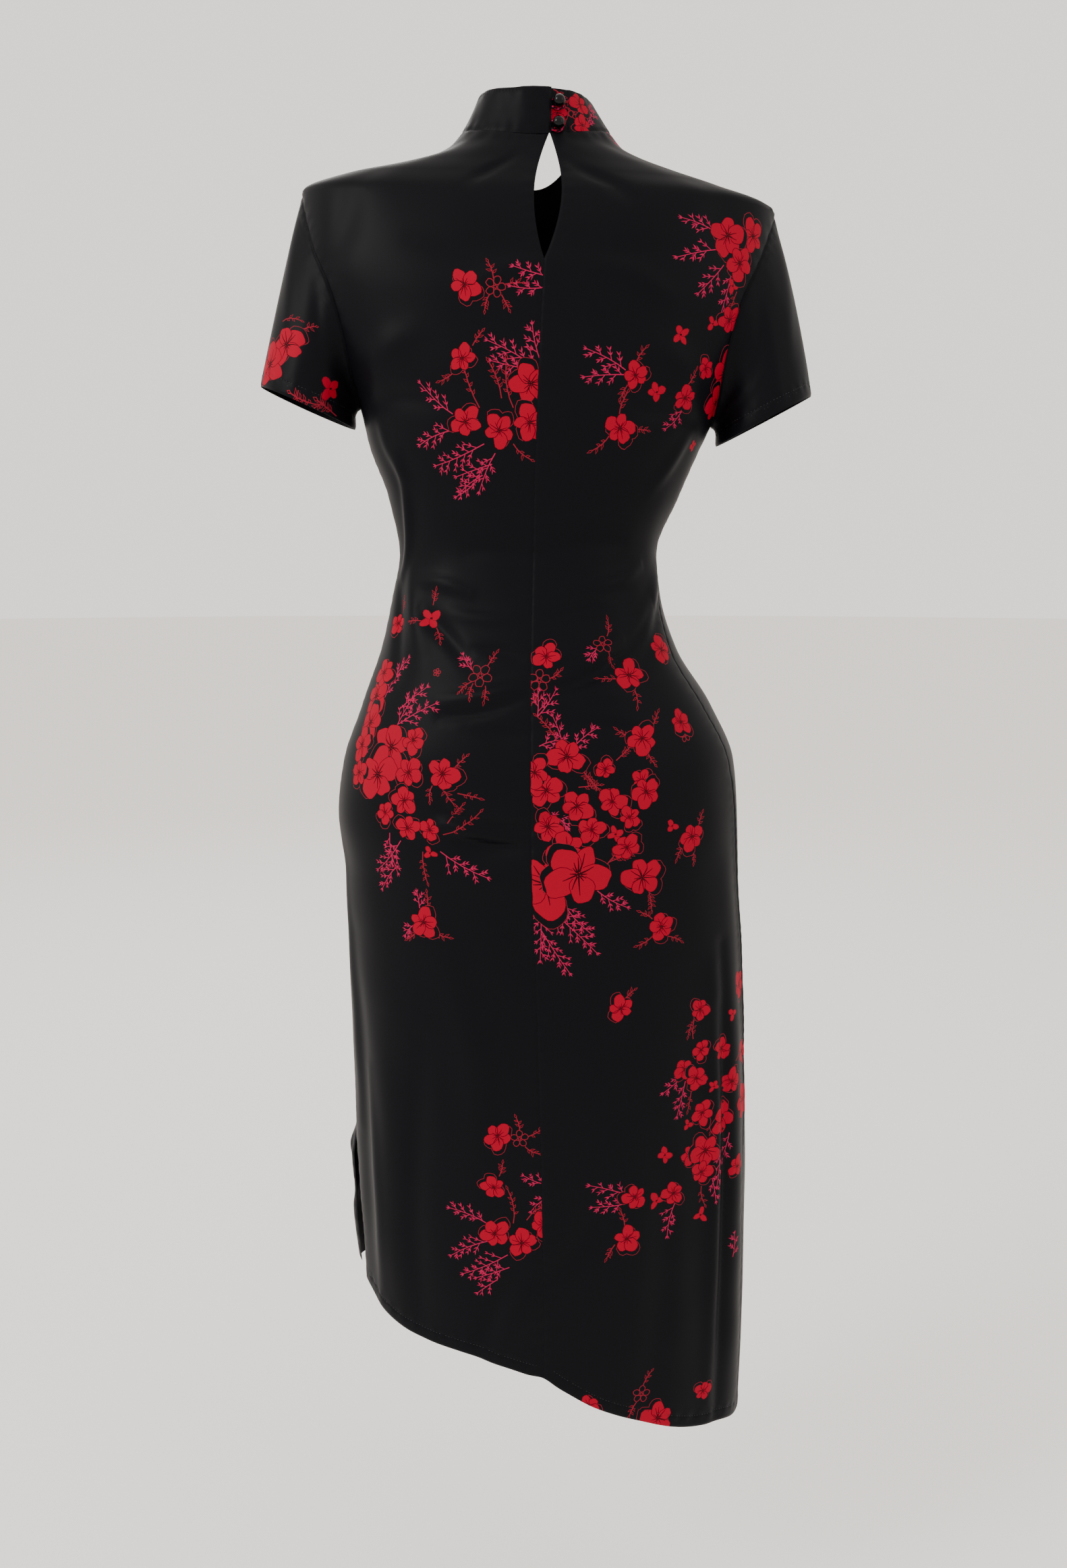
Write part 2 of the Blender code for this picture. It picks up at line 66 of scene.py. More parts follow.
KEYHOLE_BOTTOM = -0.121
KEYHOLE_WIDTH = 0.0225
SLIT_SPREAD = 0.026
COLLAR_EDGE_X = -0.0143
COLLAR_LAP = 0.010
LAP_LIFT = 0.0022
LAP_EASE = 28.0
STAND_EDGE_X = -0.0282
STAND_STEP = 0.0006
ARMHOLE_STEPS = 9
CUFF_HALF_DEPTH = 0.054
BALL_RADIUS = 0.005
SHANK_RADIUS = 0.0016
SHANK_LENGTH = 0.0006
CORD_RADIUS = 0.001
LOOP_RADIUS = 0.005
LOOP_LEG_RISE = 0.0034
BUTTON_X = -0.0196
BUTTON_HEIGHTS = {"upper": 0.0108, "lower": -0.0080}

# How the collar stands off the neck seam, and how far its foot drops to stay over it
LIFT_RISE = 0.012
STAND_RAMP = 0.5  # degrees
STAND_FADE = 24.0  # degrees
FOOT_DROP = 0.0003
FOOT_DROP_AT_LAP = 0.0013
FOOT_DROP_AT_STAND = 0.0008

# Sizes of the cloth's finer make
CLOTH = 0.0007  # thickness
UNEVENNESS = 0.00022
MESH_STEP = 0.0048
INSIDE_COARSER = 1.6
COLLAR_FINER = 0.6
EDGE_STEP = 0.0030
EDGE_OFFSETS = (0.0006, 0.0014, 0.0028)
SEAM_OVERLAP = 0.0001
SEAM_DIP = 0.00060
SEAM_DIP_WIDTH = 0.0015
HEM_DEPTH = 0.011
HEM_NOTCH = 0.0035
HEM_NOTCH_WIDTH = 0.010
HEM_LEVEL = -1.10  # where places across are read for the hem
HEM_ROWS = (HEM_DEPTH - 0.001, HEM_DEPTH, HEM_DEPTH + 0.001)
GROOVE_DEPTH = 0.00022
GROOVE_WIDTH = 0.0009
BAND_LIFT = 0.00018
BAND_BLUR = 0.0006
RIM_STEP = 0.0006
UV_NUDGE = 2e-4
STITCH = 0.0023
STITCH_PITCH = 0.0030
STITCH_RADIUS = 0.00022
STITCH_MARGIN = 0.004
STITCH_PATH_STEP = 0.004
CUFF_ROW_GAP = 0.003  # between a cuff's two rows of stitches
STITCH_SINK = 0.00005
STITCH_END_SINK = 0.0001
BALL_STEPS = 24
BALL_SIDES = 40
LOOP_STEPS = 48
CORD_SIDES = 12
# The slight pucker along an edge: how far in it reaches, its height and where it is highest
Pucker = namedtuple("Pucker", "reach height middle")
PUCKERS = {"seam": Pucker(0.006, 0.00016, 0.0035), "hem": Pucker(0.005, 0.00022, HEM_DEPTH)}
PUCKER_PITCH = 0.0125

Ring = namedtuple("Ring", "height left right back front")
BODY_RINGS = (
    Ring(-1.240, 0.1600, 0.2015, 0.114, 0.104),
    Ring(-1.075, 0.1640, 0.2045, 0.115, 0.105),
    Ring(-0.950, 0.1680, 0.2040, 0.117, 0.106),
    Ring(-0.800, 0.1712, 0.1990, 0.120, 0.108),
    Ring(-0.694, 0.1735, 0.1930, 0.122, 0.110),
    Ring(-0.642, 0.1740, 0.1895, 0.1235, 0.112),
    Ring(-0.590, 0.1800, 0.1880, 0.125, 0.113),
    Ring(-0.540, 0.1735, 0.1830, 0.123, 0.114),
    Ring(-0.490, 0.1560, 0.1610, 0.114, 0.113),
    Ring(-0.440, 0.1380, 0.1300, 0.099, 0.108),
    Ring(-0.391, 0.1265, 0.1140, 0.085, 0.101),
    Ring(-0.354, 0.1205, 0.1105, 0.080, 0.098),
    Ring(-0.306, 0.1290, 0.1290, 0.085, 0.108),
    Ring(-0.262, 0.1450, 0.1480, 0.094, 0.1235),
)
HighRing = namedtuple("HighRing", "height left_z right_z front_z left right back front")
HIGH_RINGS = (
    HighRing(-0.235, -0.2280, -0.2430, -0.236, 0.1530, 0.1570, 0.0980, 0.1310),
    HighRing(-0.190, -0.1860, -0.2000, -0.196, 0.1720, 0.1760, 0.1025, 0.1320),
    HighRing(-0.145, -0.1430, -0.1570, -0.155, 0.1900, 0.1950, 0.1030, 0.1200),
    HighRing(-0.100, -0.0990, -0.1130, -0.118, 0.2010, 0.2060, 0.0970, 0.1000),
    HighRing(-0.062, -0.0480, -0.0650, -0.094, 0.2000, 0.2090, 0.0850, 0.0830),
    HighRing(-0.046, -0.0360, -0.0510, -0.086, 0.1700, 0.1730, 0.0750, 0.0760),
    HighRing(-0.034, -0.0300, -0.0390, -0.081, 0.1300, 0.1340, 0.0675, 0.0710),
    HighRing(-0.024, -0.0245, -0.0270, -0.077, 0.0980, 0.1000, 0.0625, 0.0675),
    HighRing(-0.017, -0.0150, -0.0150, -0.073, 0.0760, 0.0785, 0.0590, 0.0655),
    HighRing(-0.012, 0.0000, -0.0010, -0.068, 0.0620, 0.0670, 0.0572, 0.0640),
    HighRing(0.004, 0.0130, 0.0110, -0.052, 0.0545, 0.0585, 0.0545, 0.0580),
    HighRing(0.024, 0.0300, 0.0240, -0.029, 0.0465, 0.0495, 0.0525, 0.0535),
    HighRing(0.034, 0.0385, 0.0305, -0.018, 0.0430, 0.0455, 0.0515, 0.0515),
)
SeamRow = namedtuple("SeamRow", "height centre_back left_turn right_turn")
SEAM_ROWS = (
    SeamRow(-1.240, -0.0080, 2.0, 15.0),
    SeamRow(-1.068, -0.0090, 2.0, 15.0),
    SeamRow(-0.964, -0.0080, 2.0, 17.0),
    SeamRow(-0.753, -0.0030, 2.0, 15.0),
    SeamRow(-0.568, 0.0023, 2.0, 18.0),
    SeamRow(-0.450, 0.0022, 2.0, 24.0),
    SeamRow(-0.361, 0.0006, 2.0, 9.0),
    SeamRow(-0.289, -0.0011, 1.0, 4.0),
    SeamRow(-0.235, -0.0030, 0.0, 0.0),
    SeamRow(-0.165, -0.0060, 0.0, 0.0),
    SeamRow(-0.062, -0.0118, 0.0, 0.0),
    SeamRow(-0.012, -0.0132, 0.0, 0.0),
    SeamRow(0.024, -0.0143, 0.0, 0.0),
)
HemPoint = namedtuple("HemPoint", "across height")
HEM = (
    HemPoint(-0.205, -1.184),
    HemPoint(-0.180, -1.170),
    HemPoint(-0.150, -1.163),
    HemPoint(-0.104, -1.146),
    HemPoint(-0.057, -1.126),
    HemPoint(-0.020, -1.103),
    HemPoint(0.010, -1.089),
    HemPoint(0.051, -1.075),
    HemPoint(0.110, -1.063),
    HemPoint(0.137, -1.052),
    HemPoint(0.155, -1.042),
    HemPoint(0.170, -1.036),
)
Fold = namedtuple("Fold", "from_angle from_height to_angle to_height half_width lift bow")
# The solids' folds
FOLDS = (
    Fold(165, -0.372, 128, -0.441, 0.011, 0.004, 0),
    Fold(158, -0.402, 120, -0.462, 0.01, -0.003, 0),
    Fold(30, -0.366, 50, -0.448, 0.013, 0.003, 0), Fold(22, -0.385, 38, -0.462, 0.01, -0.0025, 0),
    Fold(74, -0.478, 89, -0.47, 0.009, 0.0025, 0),
    Fold(104, -0.474, 124, -0.468, 0.009, 0.0025, 0),
    Fold(70, -0.61, 92, -0.588, 0.014, -0.003, 0), Fold(22, -0.7, 26, -1.03, 0.02, -0.004, 0),
    Fold(44, -0.76, 40, -1.06, 0.024, 0.0035, 0), Fold(93, -0.98, 76, -1.085, 0.018, 0.004, 0),
    Fold(132, -0.7, 138, -1.15, 0.022, -0.0035, 0), Fold(154, -0.64, 156, -1.18, 0.02, 0.0035, 0),
    Fold(234, -0.7, 228, -1.16, 0.026, 0.004, 0), Fold(262, -0.64, 266, -1.11, 0.024, -0.004, 0),
    Fold(304, -0.72, 312, -1.06, 0.026, 0.004, 0),
    Fold(205, -0.384, 232, -0.44, 0.012, 0.0035, 0),
    Fold(338, -0.382, 312, -0.446, 0.012, 0.0035, 0),
    Fold(-2, -0.912, -4, -1.06, 0.017, 0.0095, 0),
    Fold(-2, -0.926, -12, -0.918, 0.016, 0.0075, 0),
    Fold(0, -0.968, -10, -0.962, 0.013, -0.004, 0),
)
# Finer creases; bow bends a crease sideways
CREASES = (
    Fold(150, -0.4, 118, -0.446, 0.007, -0.0024, 0.003),
    Fold(120, -0.444, 91, -0.472, 0.006, -0.0022, 0.004),
    Fold(124, -0.428, 104, -0.448, 0.006, 0.002, 0.003),
    Fold(62, -0.492, 89, -0.472, 0.006, -0.002, -0.004),
    Fold(60, -0.478, 88, -0.462, 0.007, 0.0018, -0.004),
    Fold(66, -0.57, 89, -0.585, 0.006, -0.0024, -0.003),
    Fold(68, -0.582, 88, -0.594, 0.006, 0.0018, -0.003),
    Fold(69, -0.592, 89, -0.602, 0.006, -0.002, -0.003),
    Fold(90, -0.58, 102, -0.574, 0.006, -0.0018, 0.002),
    Fold(106, -0.92, 93, -1, 0.01, -0.0018, 0.006),
    Fold(86, -0.99, 74, -1.074, 0.009, -0.002, -0.004),
    Fold(38, -0.27, 22, -0.372, 0.009, 0.0022, 0.006),
    Fold(44, -0.404, 70, -0.45, 0.008, -0.0022, 0.004),
    Fold(148, -0.7, 146, -1.16, 0.007, -0.002, 0.003),
    Fold(143, -0.72, 141, -1.16, 0.009, 0.0014, 0.004),
    Fold(101, -0.042, 110, -0.07, 0.006, -0.0016, 0.002),
    Fold(83, -0.036, 76, -0.058, 0.005, -0.0014, -0.002),
    Fold(101, -0.122, 122, -0.142, 0.009, 0.0012, 0.004),
    Fold(94, -0.124, 76, -0.14, 0.009, 0.0012, -0.003),
    Fold(88, -0.116, 64, -0.104, 0.01, -0.001, 0.004),
    Fold(104, -0.114, 128, -0.1, 0.01, -0.001, -0.004),
    Fold(34, -0.22, 58, -0.176, 0.012, 0.0016, 0.006),
    Fold(28, -0.236, 60, -0.232, 0.01, -0.0014, 0.005),
    Fold(146, -0.226, 122, -0.182, 0.012, 0.0016, -0.006),
    Fold(152, -0.24, 120, -0.236, 0.01, -0.0014, -0.005),
    Fold(150, -0.25, 138, -0.3, 0.01, 0.0014, 0.003),
    Fold(30, -0.246, 40, -0.296, 0.01, 0.0014, -0.003),
    Fold(46, -0.06, 32, -0.12, 0.014, -0.0014, 0.006),
    Fold(134, -0.062, 146, -0.126, 0.014, -0.0014, -0.006),
    Fold(60, -0.32, 84, -0.334, 0.008, 0.001, 0.003),
    Fold(98, -0.33, 126, -0.318, 0.008, 0.0011, -0.003),
    Fold(64, -0.352, 92, -0.36, 0.007, -0.0012, 0.003),
    Fold(96, -0.352, 130, -0.346, 0.007, -0.0012, 0.002),
    Fold(40, -0.378, 66, -0.388, 0.006, 0.0014, 0.003),
    Fold(112, -0.384, 144, -0.366, 0.006, 0.0014, -0.003),
    Fold(58, -0.404, 84, -0.41, 0.006, 0.0012, -0.003),
    Fold(98, -0.412, 122, -0.404, 0.006, -0.0012, 0.003),
    Fold(70, -0.436, 86, -0.442, 0.005, -0.0012, 0.002),
    Fold(96, -0.444, 118, -0.436, 0.005, 0.0013, 0.002),
    Fold(72, -0.5, 90, -0.508, 0.007, -0.0012, -0.002),
    Fold(100, -0.498, 120, -0.506, 0.007, -0.0011, 0.002),
    Fold(62, -0.592, 90, -0.574, 0.009, 0.0012, 0.003),
    Fold(96, -0.6, 118, -0.612, 0.01, -0.0011, 0.003),
    Fold(64, -0.636, 96, -0.632, 0.012, 0.001, 0.004),
    Fold(66, -0.7, 74, -0.9, 0.014, 0.0013, 0.01),
    Fold(58, -0.78, 54, -1.06, 0.012, -0.0014, -0.008),
    Fold(30, -0.82, 34, -1.04, 0.01, 0.0014, 0.006),
    Fold(12, -0.62, 18, -0.88, 0.01, 0.0012, 0.005),
    Fold(102, -0.76, 114, -1.11, 0.016, 0.0013, 0.012),
    Fold(122, -0.86, 118, -1.14, 0.012, -0.0013, 0.008),
    Fold(146, -0.76, 148, -1.16, 0.01, -0.0014, 0.006),
    Fold(164, -0.56, 166, -0.9, 0.009, 0.0012, 0.004),
    Fold(84, -0.66, 98, -0.76, 0.018, -0.001, 0.01),
    Fold(212, -0.236, 236, -0.19, 0.012, 0.0018, -0.006),
    Fold(326, -0.232, 304, -0.186, 0.012, 0.0018, 0.006),
    Fold(206, -0.252, 238, -0.262, 0.01, -0.0014, 0.004),
    Fold(334, -0.248, 300, -0.258, 0.01, -0.0014, -0.004),
    Fold(238, -0.3, 262, -0.33, 0.01, 0.0013, 0.004),
    Fold(302, -0.298, 276, -0.332, 0.01, 0.0013, -0.004),
    Fold(216, -0.35, 250, -0.358, 0.007, -0.0012, 0.003),
    Fold(326, -0.346, 290, -0.356, 0.007, -0.0012, -0.003),
    Fold(240, -0.38, 268, -0.388, 0.007, 0.0013, 0.003),
    Fold(300, -0.376, 274, -0.392, 0.007, 0.0013, -0.002),
    Fold(222, -0.424, 252, -0.432, 0.007, -0.0012, 0.003),
    Fold(320, -0.422, 292, -0.436, 0.007, -0.0012, -0.003),
    Fold(244, -0.52, 292, -0.524, 0.012, 0.001, 0.006),
    Fold(248, -0.74, 252, -1.13, 0.014, 0.0014, 0.01),
    Fold(284, -0.76, 286, -1.08, 0.016, 0.0016, -0.01),
    Fold(216, -0.7, 214, -1.17, 0.012, -0.0015, 0.008),
    Fold(326, -0.7, 330, -1.05, 0.014, -0.0014, 0.008),
    Fold(244, -0.06, 230, -0.11, 0.012, -0.0012, 0.005),
    Fold(296, -0.06, 310, -0.11, 0.012, -0.0012, -0.005),
)
FOLD_RADIUS = 0.150
CREASE_STRENGTH = 1.7
# The sleeves: their flat pattern's size, and how the cloth leaves the armhole and meets the cuff
SLEEVE_ROUND = 0.36
SLEEVE_DOWN = 0.17
LEAVE_TURN = 78  # degrees, at the shoulder tip
LEAVE_START = 0.008
LEAVE_SHARE = 0.10
ARRIVE_SHARE = 0.30
Cuff = namedtuple("Cuff", "inner_x inner_z outer_x outer_z centre_y lean puff")
SLEEVES = {
    "sleeve_left": Cuff(0.160, -0.245, 0.2405, -0.210, 0.002, 0.22, 0.0),
    "sleeve_right": Cuff(0.164, -0.260, 0.2450, -0.218, 0.002, 0.14, 0.018),
}

# Inks: linear colours of the ground and of what is printed on it
INKS = {
    "ground": (0.0024, 0.0025, 0.0038),
    "red": (0.275, 0.0002, 0.0145),
    "rim": (0.110, 0.0008, 0.0060),
    "vein": (0.018, 0.0004, 0.0018),
    "rose": (0.320, 0.0070, 0.0500),
    "plum": (0.170, 0.0020, 0.0260),
    "line": (0.190, 0.0080, 0.0200),
}
INK_ORDER = tuple(INKS)

# Finishes: linear colour, roughness and specular level
Finish = namedtuple("Finish", "colour roughness specular")
CREPES = {ink: Finish(colour, 0.60, 0.055) for ink, colour in INKS.items()}
CREPES["ground"] = Finish(INKS["ground"], 0.46, 0.055)
GRAIN_SCALE = 900.0
GRAIN_STRENGTH = 0.22
GRAIN_DEPTH = 0.0002
THREAD = Finish((0.012, 0.012, 0.015), 0.38, 0.5)
POLISH = Finish((0.0015, 0.0015, 0.002), 0.05, 0.16)
PALE_FLOOR = Finish((0.88, 0.865, 0.85), 0.8, 0.5)

# The studio
FLOOR_LEVEL = -1.42
FLOOR_RADIUS = 30
FLOOR_SIDES = 64
SKY_COLOUR = (1.0, 0.940, 0.880)
SKY_STRENGTH = 1.5
Light = namedtuple("Light", "name place aim size power tint")
LIGHTS = (
    Light("key", (2.5, 1.7, 1.2), (0, 0, -0.5), (0.9, 1.5), 72, (1.0, 0.985, 0.96)),
    Light("fill", (-2.4, 1.6, 0.6), (0, 0, -0.6), (1.2, 2.0), 10, (1.0, 1.0, 1.0)),
    Light("front", (0.6, -3.0, 1.4), (0, 0, -0.5), (2.0, 2.0), 34, (1.0, 1.0, 1.0)),
)
SENSOR_WIDTH = 36.0

# The photograph's camera, in the photograph's pixels
PHOTO_HEIGHT = 2324.0
PHOTO_FOCAL = 2016.0
PHOTO_CENTRE = (791.0, 1162.0)
CAMERA_DISTANCE = 1.25
CAMERA_PITCH = 9.0
CAMERA_LEVEL = -0.368
RUN_OVER_ANGLE = 148.0  # from here on, back_right's motifs run over the side seam to the front

# Where motifs are roughly seen in the photograph when it is shown 2000 pixels high. A row's
# columns are those of Seen from photo_x on. Sprigs and twigs share a list, as they overlap
PHOTO_STEP = 1.162
Seen = namedtuple("Seen", "piece kind photo_x photo_y size_mm turn")
SEEN_MOTIFS = {
    "back_left": {
        "leaves": [
            ("twig", 630, 356, 13, 95), ("twig", 640, 364, 16, 15), ("twig", 626, 374, 13, 230),
            ("twig", 640, 376, 12, 300), ("sprig", 697, 352, 27, 168),
            ("sprig", 697, 366, 28, 192), ("twig", 603, 441, 13, 62), ("twig", 580, 474, 14, 225),
            ("sprig", 690, 474, 48, 142), ("sprig", 690, 462, 30, 112),
            ("sprig", 682, 472, 36, 172), ("twig", 655, 520, 32, 118),
            ("twig", 612, 520, 36, 122), ("twig", 640, 508, 28, 96), ("sprig", 578, 528, 34, 150),
            ("sprig", 580, 548, 36, 190), ("sprig", 618, 566, 50, 208),
            ("sprig", 632, 578, 34, 236), ("twig", 655, 566, 18, 300),
            ("sprig", 628, 592, 34, 196), ("sprig", 616, 606, 24, 205),
            ("sprig", 604, 618, 18, 222), ("twig", 513, 782, 12, 70), ("twig", 553, 772, 12, 84),
            ("twig", 540, 793, 13, 176), ("twig", 555, 800, 13, 305),
            ("sprig", 604, 856, 17, 142), ("twig", 622, 850, 13, 60), ("twig", 602, 870, 12, 205),
            ("twig", 620, 876, 12, 290), ("twig", 604, 872, 12, 250), ("sprig", 492, 890, 30, 80),
            ("sprig", 510, 905, 32, 42), ("sprig", 500, 868, 26, 62), ("sprig", 512, 922, 36, 36),
            ("sprig", 505, 930, 30, 70), ("sprig", 470, 960, 34, 118),
            ("twig", 566, 1002, 16, 280), ("twig", 552, 1002, 12, 238),
            ("twig", 584, 1012, 18, 352), ("twig", 578, 982, 16, 50),
            ("sprig", 512, 1072, 40, 238), ("sprig", 498, 1062, 34, 262),
            ("twig", 540, 1086, 26, 262), ("sprig", 562, 1086, 44, 322),
            ("twig", 572, 1050, 20, 62), ("twig", 566, 1064, 34, 12),
            ("sprig", 506, 1106, 26, 220), ("sprig", 536, 1158, 14, 95),
            ("twig", 546, 1162, 16, 84), ("sprig", 528, 1180, 12, 215),
            ("twig", 553, 1188, 14, 330), ("twig", 534, 1186, 13, 235),
            ("twig", 663, 1444, 13, 85), ("twig", 672, 1450, 15, 20),
            ("twig", 670, 1462, 12, 310), ("twig", 637, 1500, 12, 65),
            ("sprig", 698, 1512, 24, 160), ("sprig", 698, 1528, 18, 205),
            ("sprig", 622, 1560, 36, 148), ("sprig", 625, 1582, 40, 196),
            ("twig", 655, 1560, 30, 78), ("twig", 672, 1556, 28, 60),
            ("sprig", 648, 1600, 46, 214), ("sprig", 650, 1616, 32, 204),
            ("sprig", 634, 1632, 22, 216),
        ],
        "outline": [
            (632, 366, 18, 0), (613, 862, 22, 0), (558, 858, 8, 0), (663, 1452, 17, 0),
        ],
        "bud": [
            (510, 705, 9, 0), (549, 788, 22, 20), (549, 1088, 14, 40),
        ],
        "flower": [
            (593, 363, 28, 10), (590, 457, 24, 40), (677, 489, 36, 20), (594, 538, 28, 60),
            (637, 549, 29, 5), (676, 539, 31, 75), (507, 795, 22, 30), (481, 888, 38, 0),
            (491, 858, 30, 48), (474, 922, 36, 20), (463, 950, 32, 55), (500, 953, 42, 35),
            (528, 944, 25, 60), (483, 988, 48, 50), (459, 985, 26, 12), (522, 985, 28, 15),
            (565, 987, 31, 44), (516, 1021, 27, 66), (492, 1036, 21, 25), (549, 1058, 21, 31),
            (520, 1056, 25, 12), (541, 1176, 29, 70), (635, 1448, 28, 22), (630, 1514, 24, 50),
            (631, 1573, 29, 34), (666, 1585, 29, 0), (694, 1562, 26, 18),
        ],
    },
    "back_right": {
        "leaves": [
            ("sprig", 777, 176, 22, 320), ("sprig", 800, 190, 22, 335),
            ("twig", 818, 200, 18, 330), ("sprig", 915, 296, 30, 160),
            ("sprig", 914, 318, 34, 196), ("sprig", 924, 338, 34, 232),
            ("sprig", 934, 348, 34, 258), ("twig", 940, 372, 18, 250),
            ("sprig", 798, 472, 34, 148), ("sprig", 800, 478, 34, 182),
            ("twig", 811, 464, 14, 78), ("twig", 801, 490, 12, 240), ("twig", 874, 492, 14, 60),
            ("sprig", 874, 520, 28, 250), ("twig", 790, 528, 15, 92), ("twig", 777, 556, 16, 240),
            ("twig", 806, 548, 14, 8), ("twig", 774, 812, 13, 60), ("sprig", 762, 828, 12, 215),
            ("twig", 774, 832, 12, 300), ("twig", 699, 866, 12, 10), ("twig", 688, 880, 12, 262),
            ("sprig", 686, 914, 30, 84), ("sprig", 686, 914, 28, 46), ("sprig", 688, 952, 18, 30),
            ("sprig", 728, 958, 30, 52), ("twig", 742, 980, 22, 300), ("sprig", 718, 952, 26, 98),
            ("twig", 712, 948, 28, 112), ("twig", 792, 866, 18, 184), ("twig", 806, 876, 16, 300),
            ("twig", 832, 928, 14, 62), ("twig", 805, 940, 12, 165), ("twig", 826, 958, 12, 280),
            ("twig", 786, 970, 20, 40), ("twig", 738, 1004, 18, 4), ("twig", 762, 1008, 20, 118),
            ("sprig", 690, 1036, 24, 340), ("sprig", 704, 1036, 20, 320),
            ("twig", 890, 1056, 13, 76), ("twig", 872, 1078, 12, 220),
            ("twig", 884, 1082, 12, 280), ("twig", 770, 1108, 34, 52),
            ("twig", 776, 1100, 26, 20), ("sprig", 762, 1136, 30, 318),
            ("sprig", 690, 1150, 52, 272), ("sprig", 700, 1158, 58, 318),
            ("sprig", 716, 1146, 40, 296), ("sprig", 690, 1186, 46, 300),
            ("twig", 826, 1132, 20, 290), ("twig", 832, 1172, 12, 135),
            ("twig", 852, 1194, 14, 348), ("twig", 832, 1194, 14, 225),
            ("twig", 796, 1276, 12, 60), ("twig", 886, 1302, 14, 236),
            ("twig", 886, 1326, 16, 104), ("sprig", 872, 1374, 22, 214),
            ("sprig", 876, 1380, 32, 256), ("twig", 884, 1392, 18, 262),
            ("twig", 934, 1352, 18, 30), ("sprig", 918, 1410, 24, 284),
            ("sprig", 930, 1444, 28, 262), ("twig", 905, 1432, 14, 280),
            ("sprig", 917, 1466, 34, 268), ("sprig", 909, 1504, 22, 284),
            ("twig", 897, 1514, 18, 262), ("sprig", 932, 1602, 22, 72),
            ("sprig", 800, 1522, 34, 158), ("sprig", 800, 1532, 30, 196),
            ("sprig", 862, 1536, 30, 246), ("twig", 796, 1562, 14, 92),
            ("twig", 784, 1586, 14, 235), ("twig", 820, 1768, 15, 70),
            ("twig", 812, 1788, 13, 230),
        ],
        "outline": [
            (768, 823, 18, 0), (688, 868, 20, 0), (873, 938, 13, 0), (818, 1778, 18, 0),
        ],
        "bud": [
            (935, 365, 16, 40), (868, 427, 18, 0), (909, 413, 14, 50), (838, 500, 18, 15),
            (883, 568, 12, 60), (857, 1053, 14, 62), (795, 1090, 14, 30), (785, 1064, 16, 10),
            (931, 1292, 14, 40), (910, 1385, 13, 15), (880, 1436, 13, 0), (849, 1474, 17, 0),
            (896, 1551, 18, 24), (838, 1532, 19, 10),
        ],
        "flower": [
            (791, 186, 18, 20), (808, 194, 18, 50), (960, 302, 30, 12), (930, 300, 36, 40),
            (944, 336, 31, 64), (930, 408, 26, 20), (899, 470, 20, 10), (924, 478, 44, 60),
            (912, 514, 36, 30), (811, 479, 24, 33), (873, 507, 24, 48), (791, 546, 28, 8),
            (697, 838, 26, 14), (843, 829, 28, 61), (803, 861, 31, 25), (868, 921, 25, 7),
            (819, 942, 30, 53), (723, 965, 33, 29), (697, 1008, 31, 70), (682, 985, 28, 20),
            (772, 981, 19, 2), (820, 996, 22, 44), (736, 1028, 30, 36), (781, 1022, 27, 58),
            (824, 1010, 29, 19), (803, 1042, 21, 45), (699, 1055, 29, 11), (755, 1058, 26, 27),
            (882, 1067, 27, 4), (697, 1127, 60, 22), (724, 1084, 36, 5), (738, 1115, 58, 56),
            (819, 1119, 38, 39), (800, 1081, 26, 70), (844, 1182, 27, 16), (792, 1286, 25, 49),
            (940, 1255, 28, 21), (894, 1288, 22, 55), (896, 1340, 21, 9), (875, 1365, 23, 42),
            (890, 1376, 26, 31), (922, 1338, 24, 15), (943, 1340, 26, 66), (931, 1378, 26, 60),
            (943, 1402, 36, 24), (922, 1428, 34, 33), (898, 1420, 26, 65), (882, 1474, 22, 65),
            (902, 1468, 34, 13), (897, 1496, 24, 47), (936, 1486, 22, 30), (809, 1525, 25, 37),
            (860, 1523, 25, 51), (799, 1578, 28, 3), (897, 1774, 21, 26), (839, 1808, 34, 59),
            (751, 1792, 22, 20),
        ],
    },
    "collar": {
        "leaves": [
            ("sprig", 750, 162, 12, 60), ("twig", 706, 165, 10, 40), ("twig", 706, 114, 12, 340),
            ("sprig", 757, 152, 14, 50),
        ],
        "outline": [
            (727, 140, 14, 0), (737, 150, 12, 0),
        ],
        "flower": [
            (739, 134, 21, 20), (742, 161, 20, 60), (711, 145, 18, 5),
        ],
    },
}

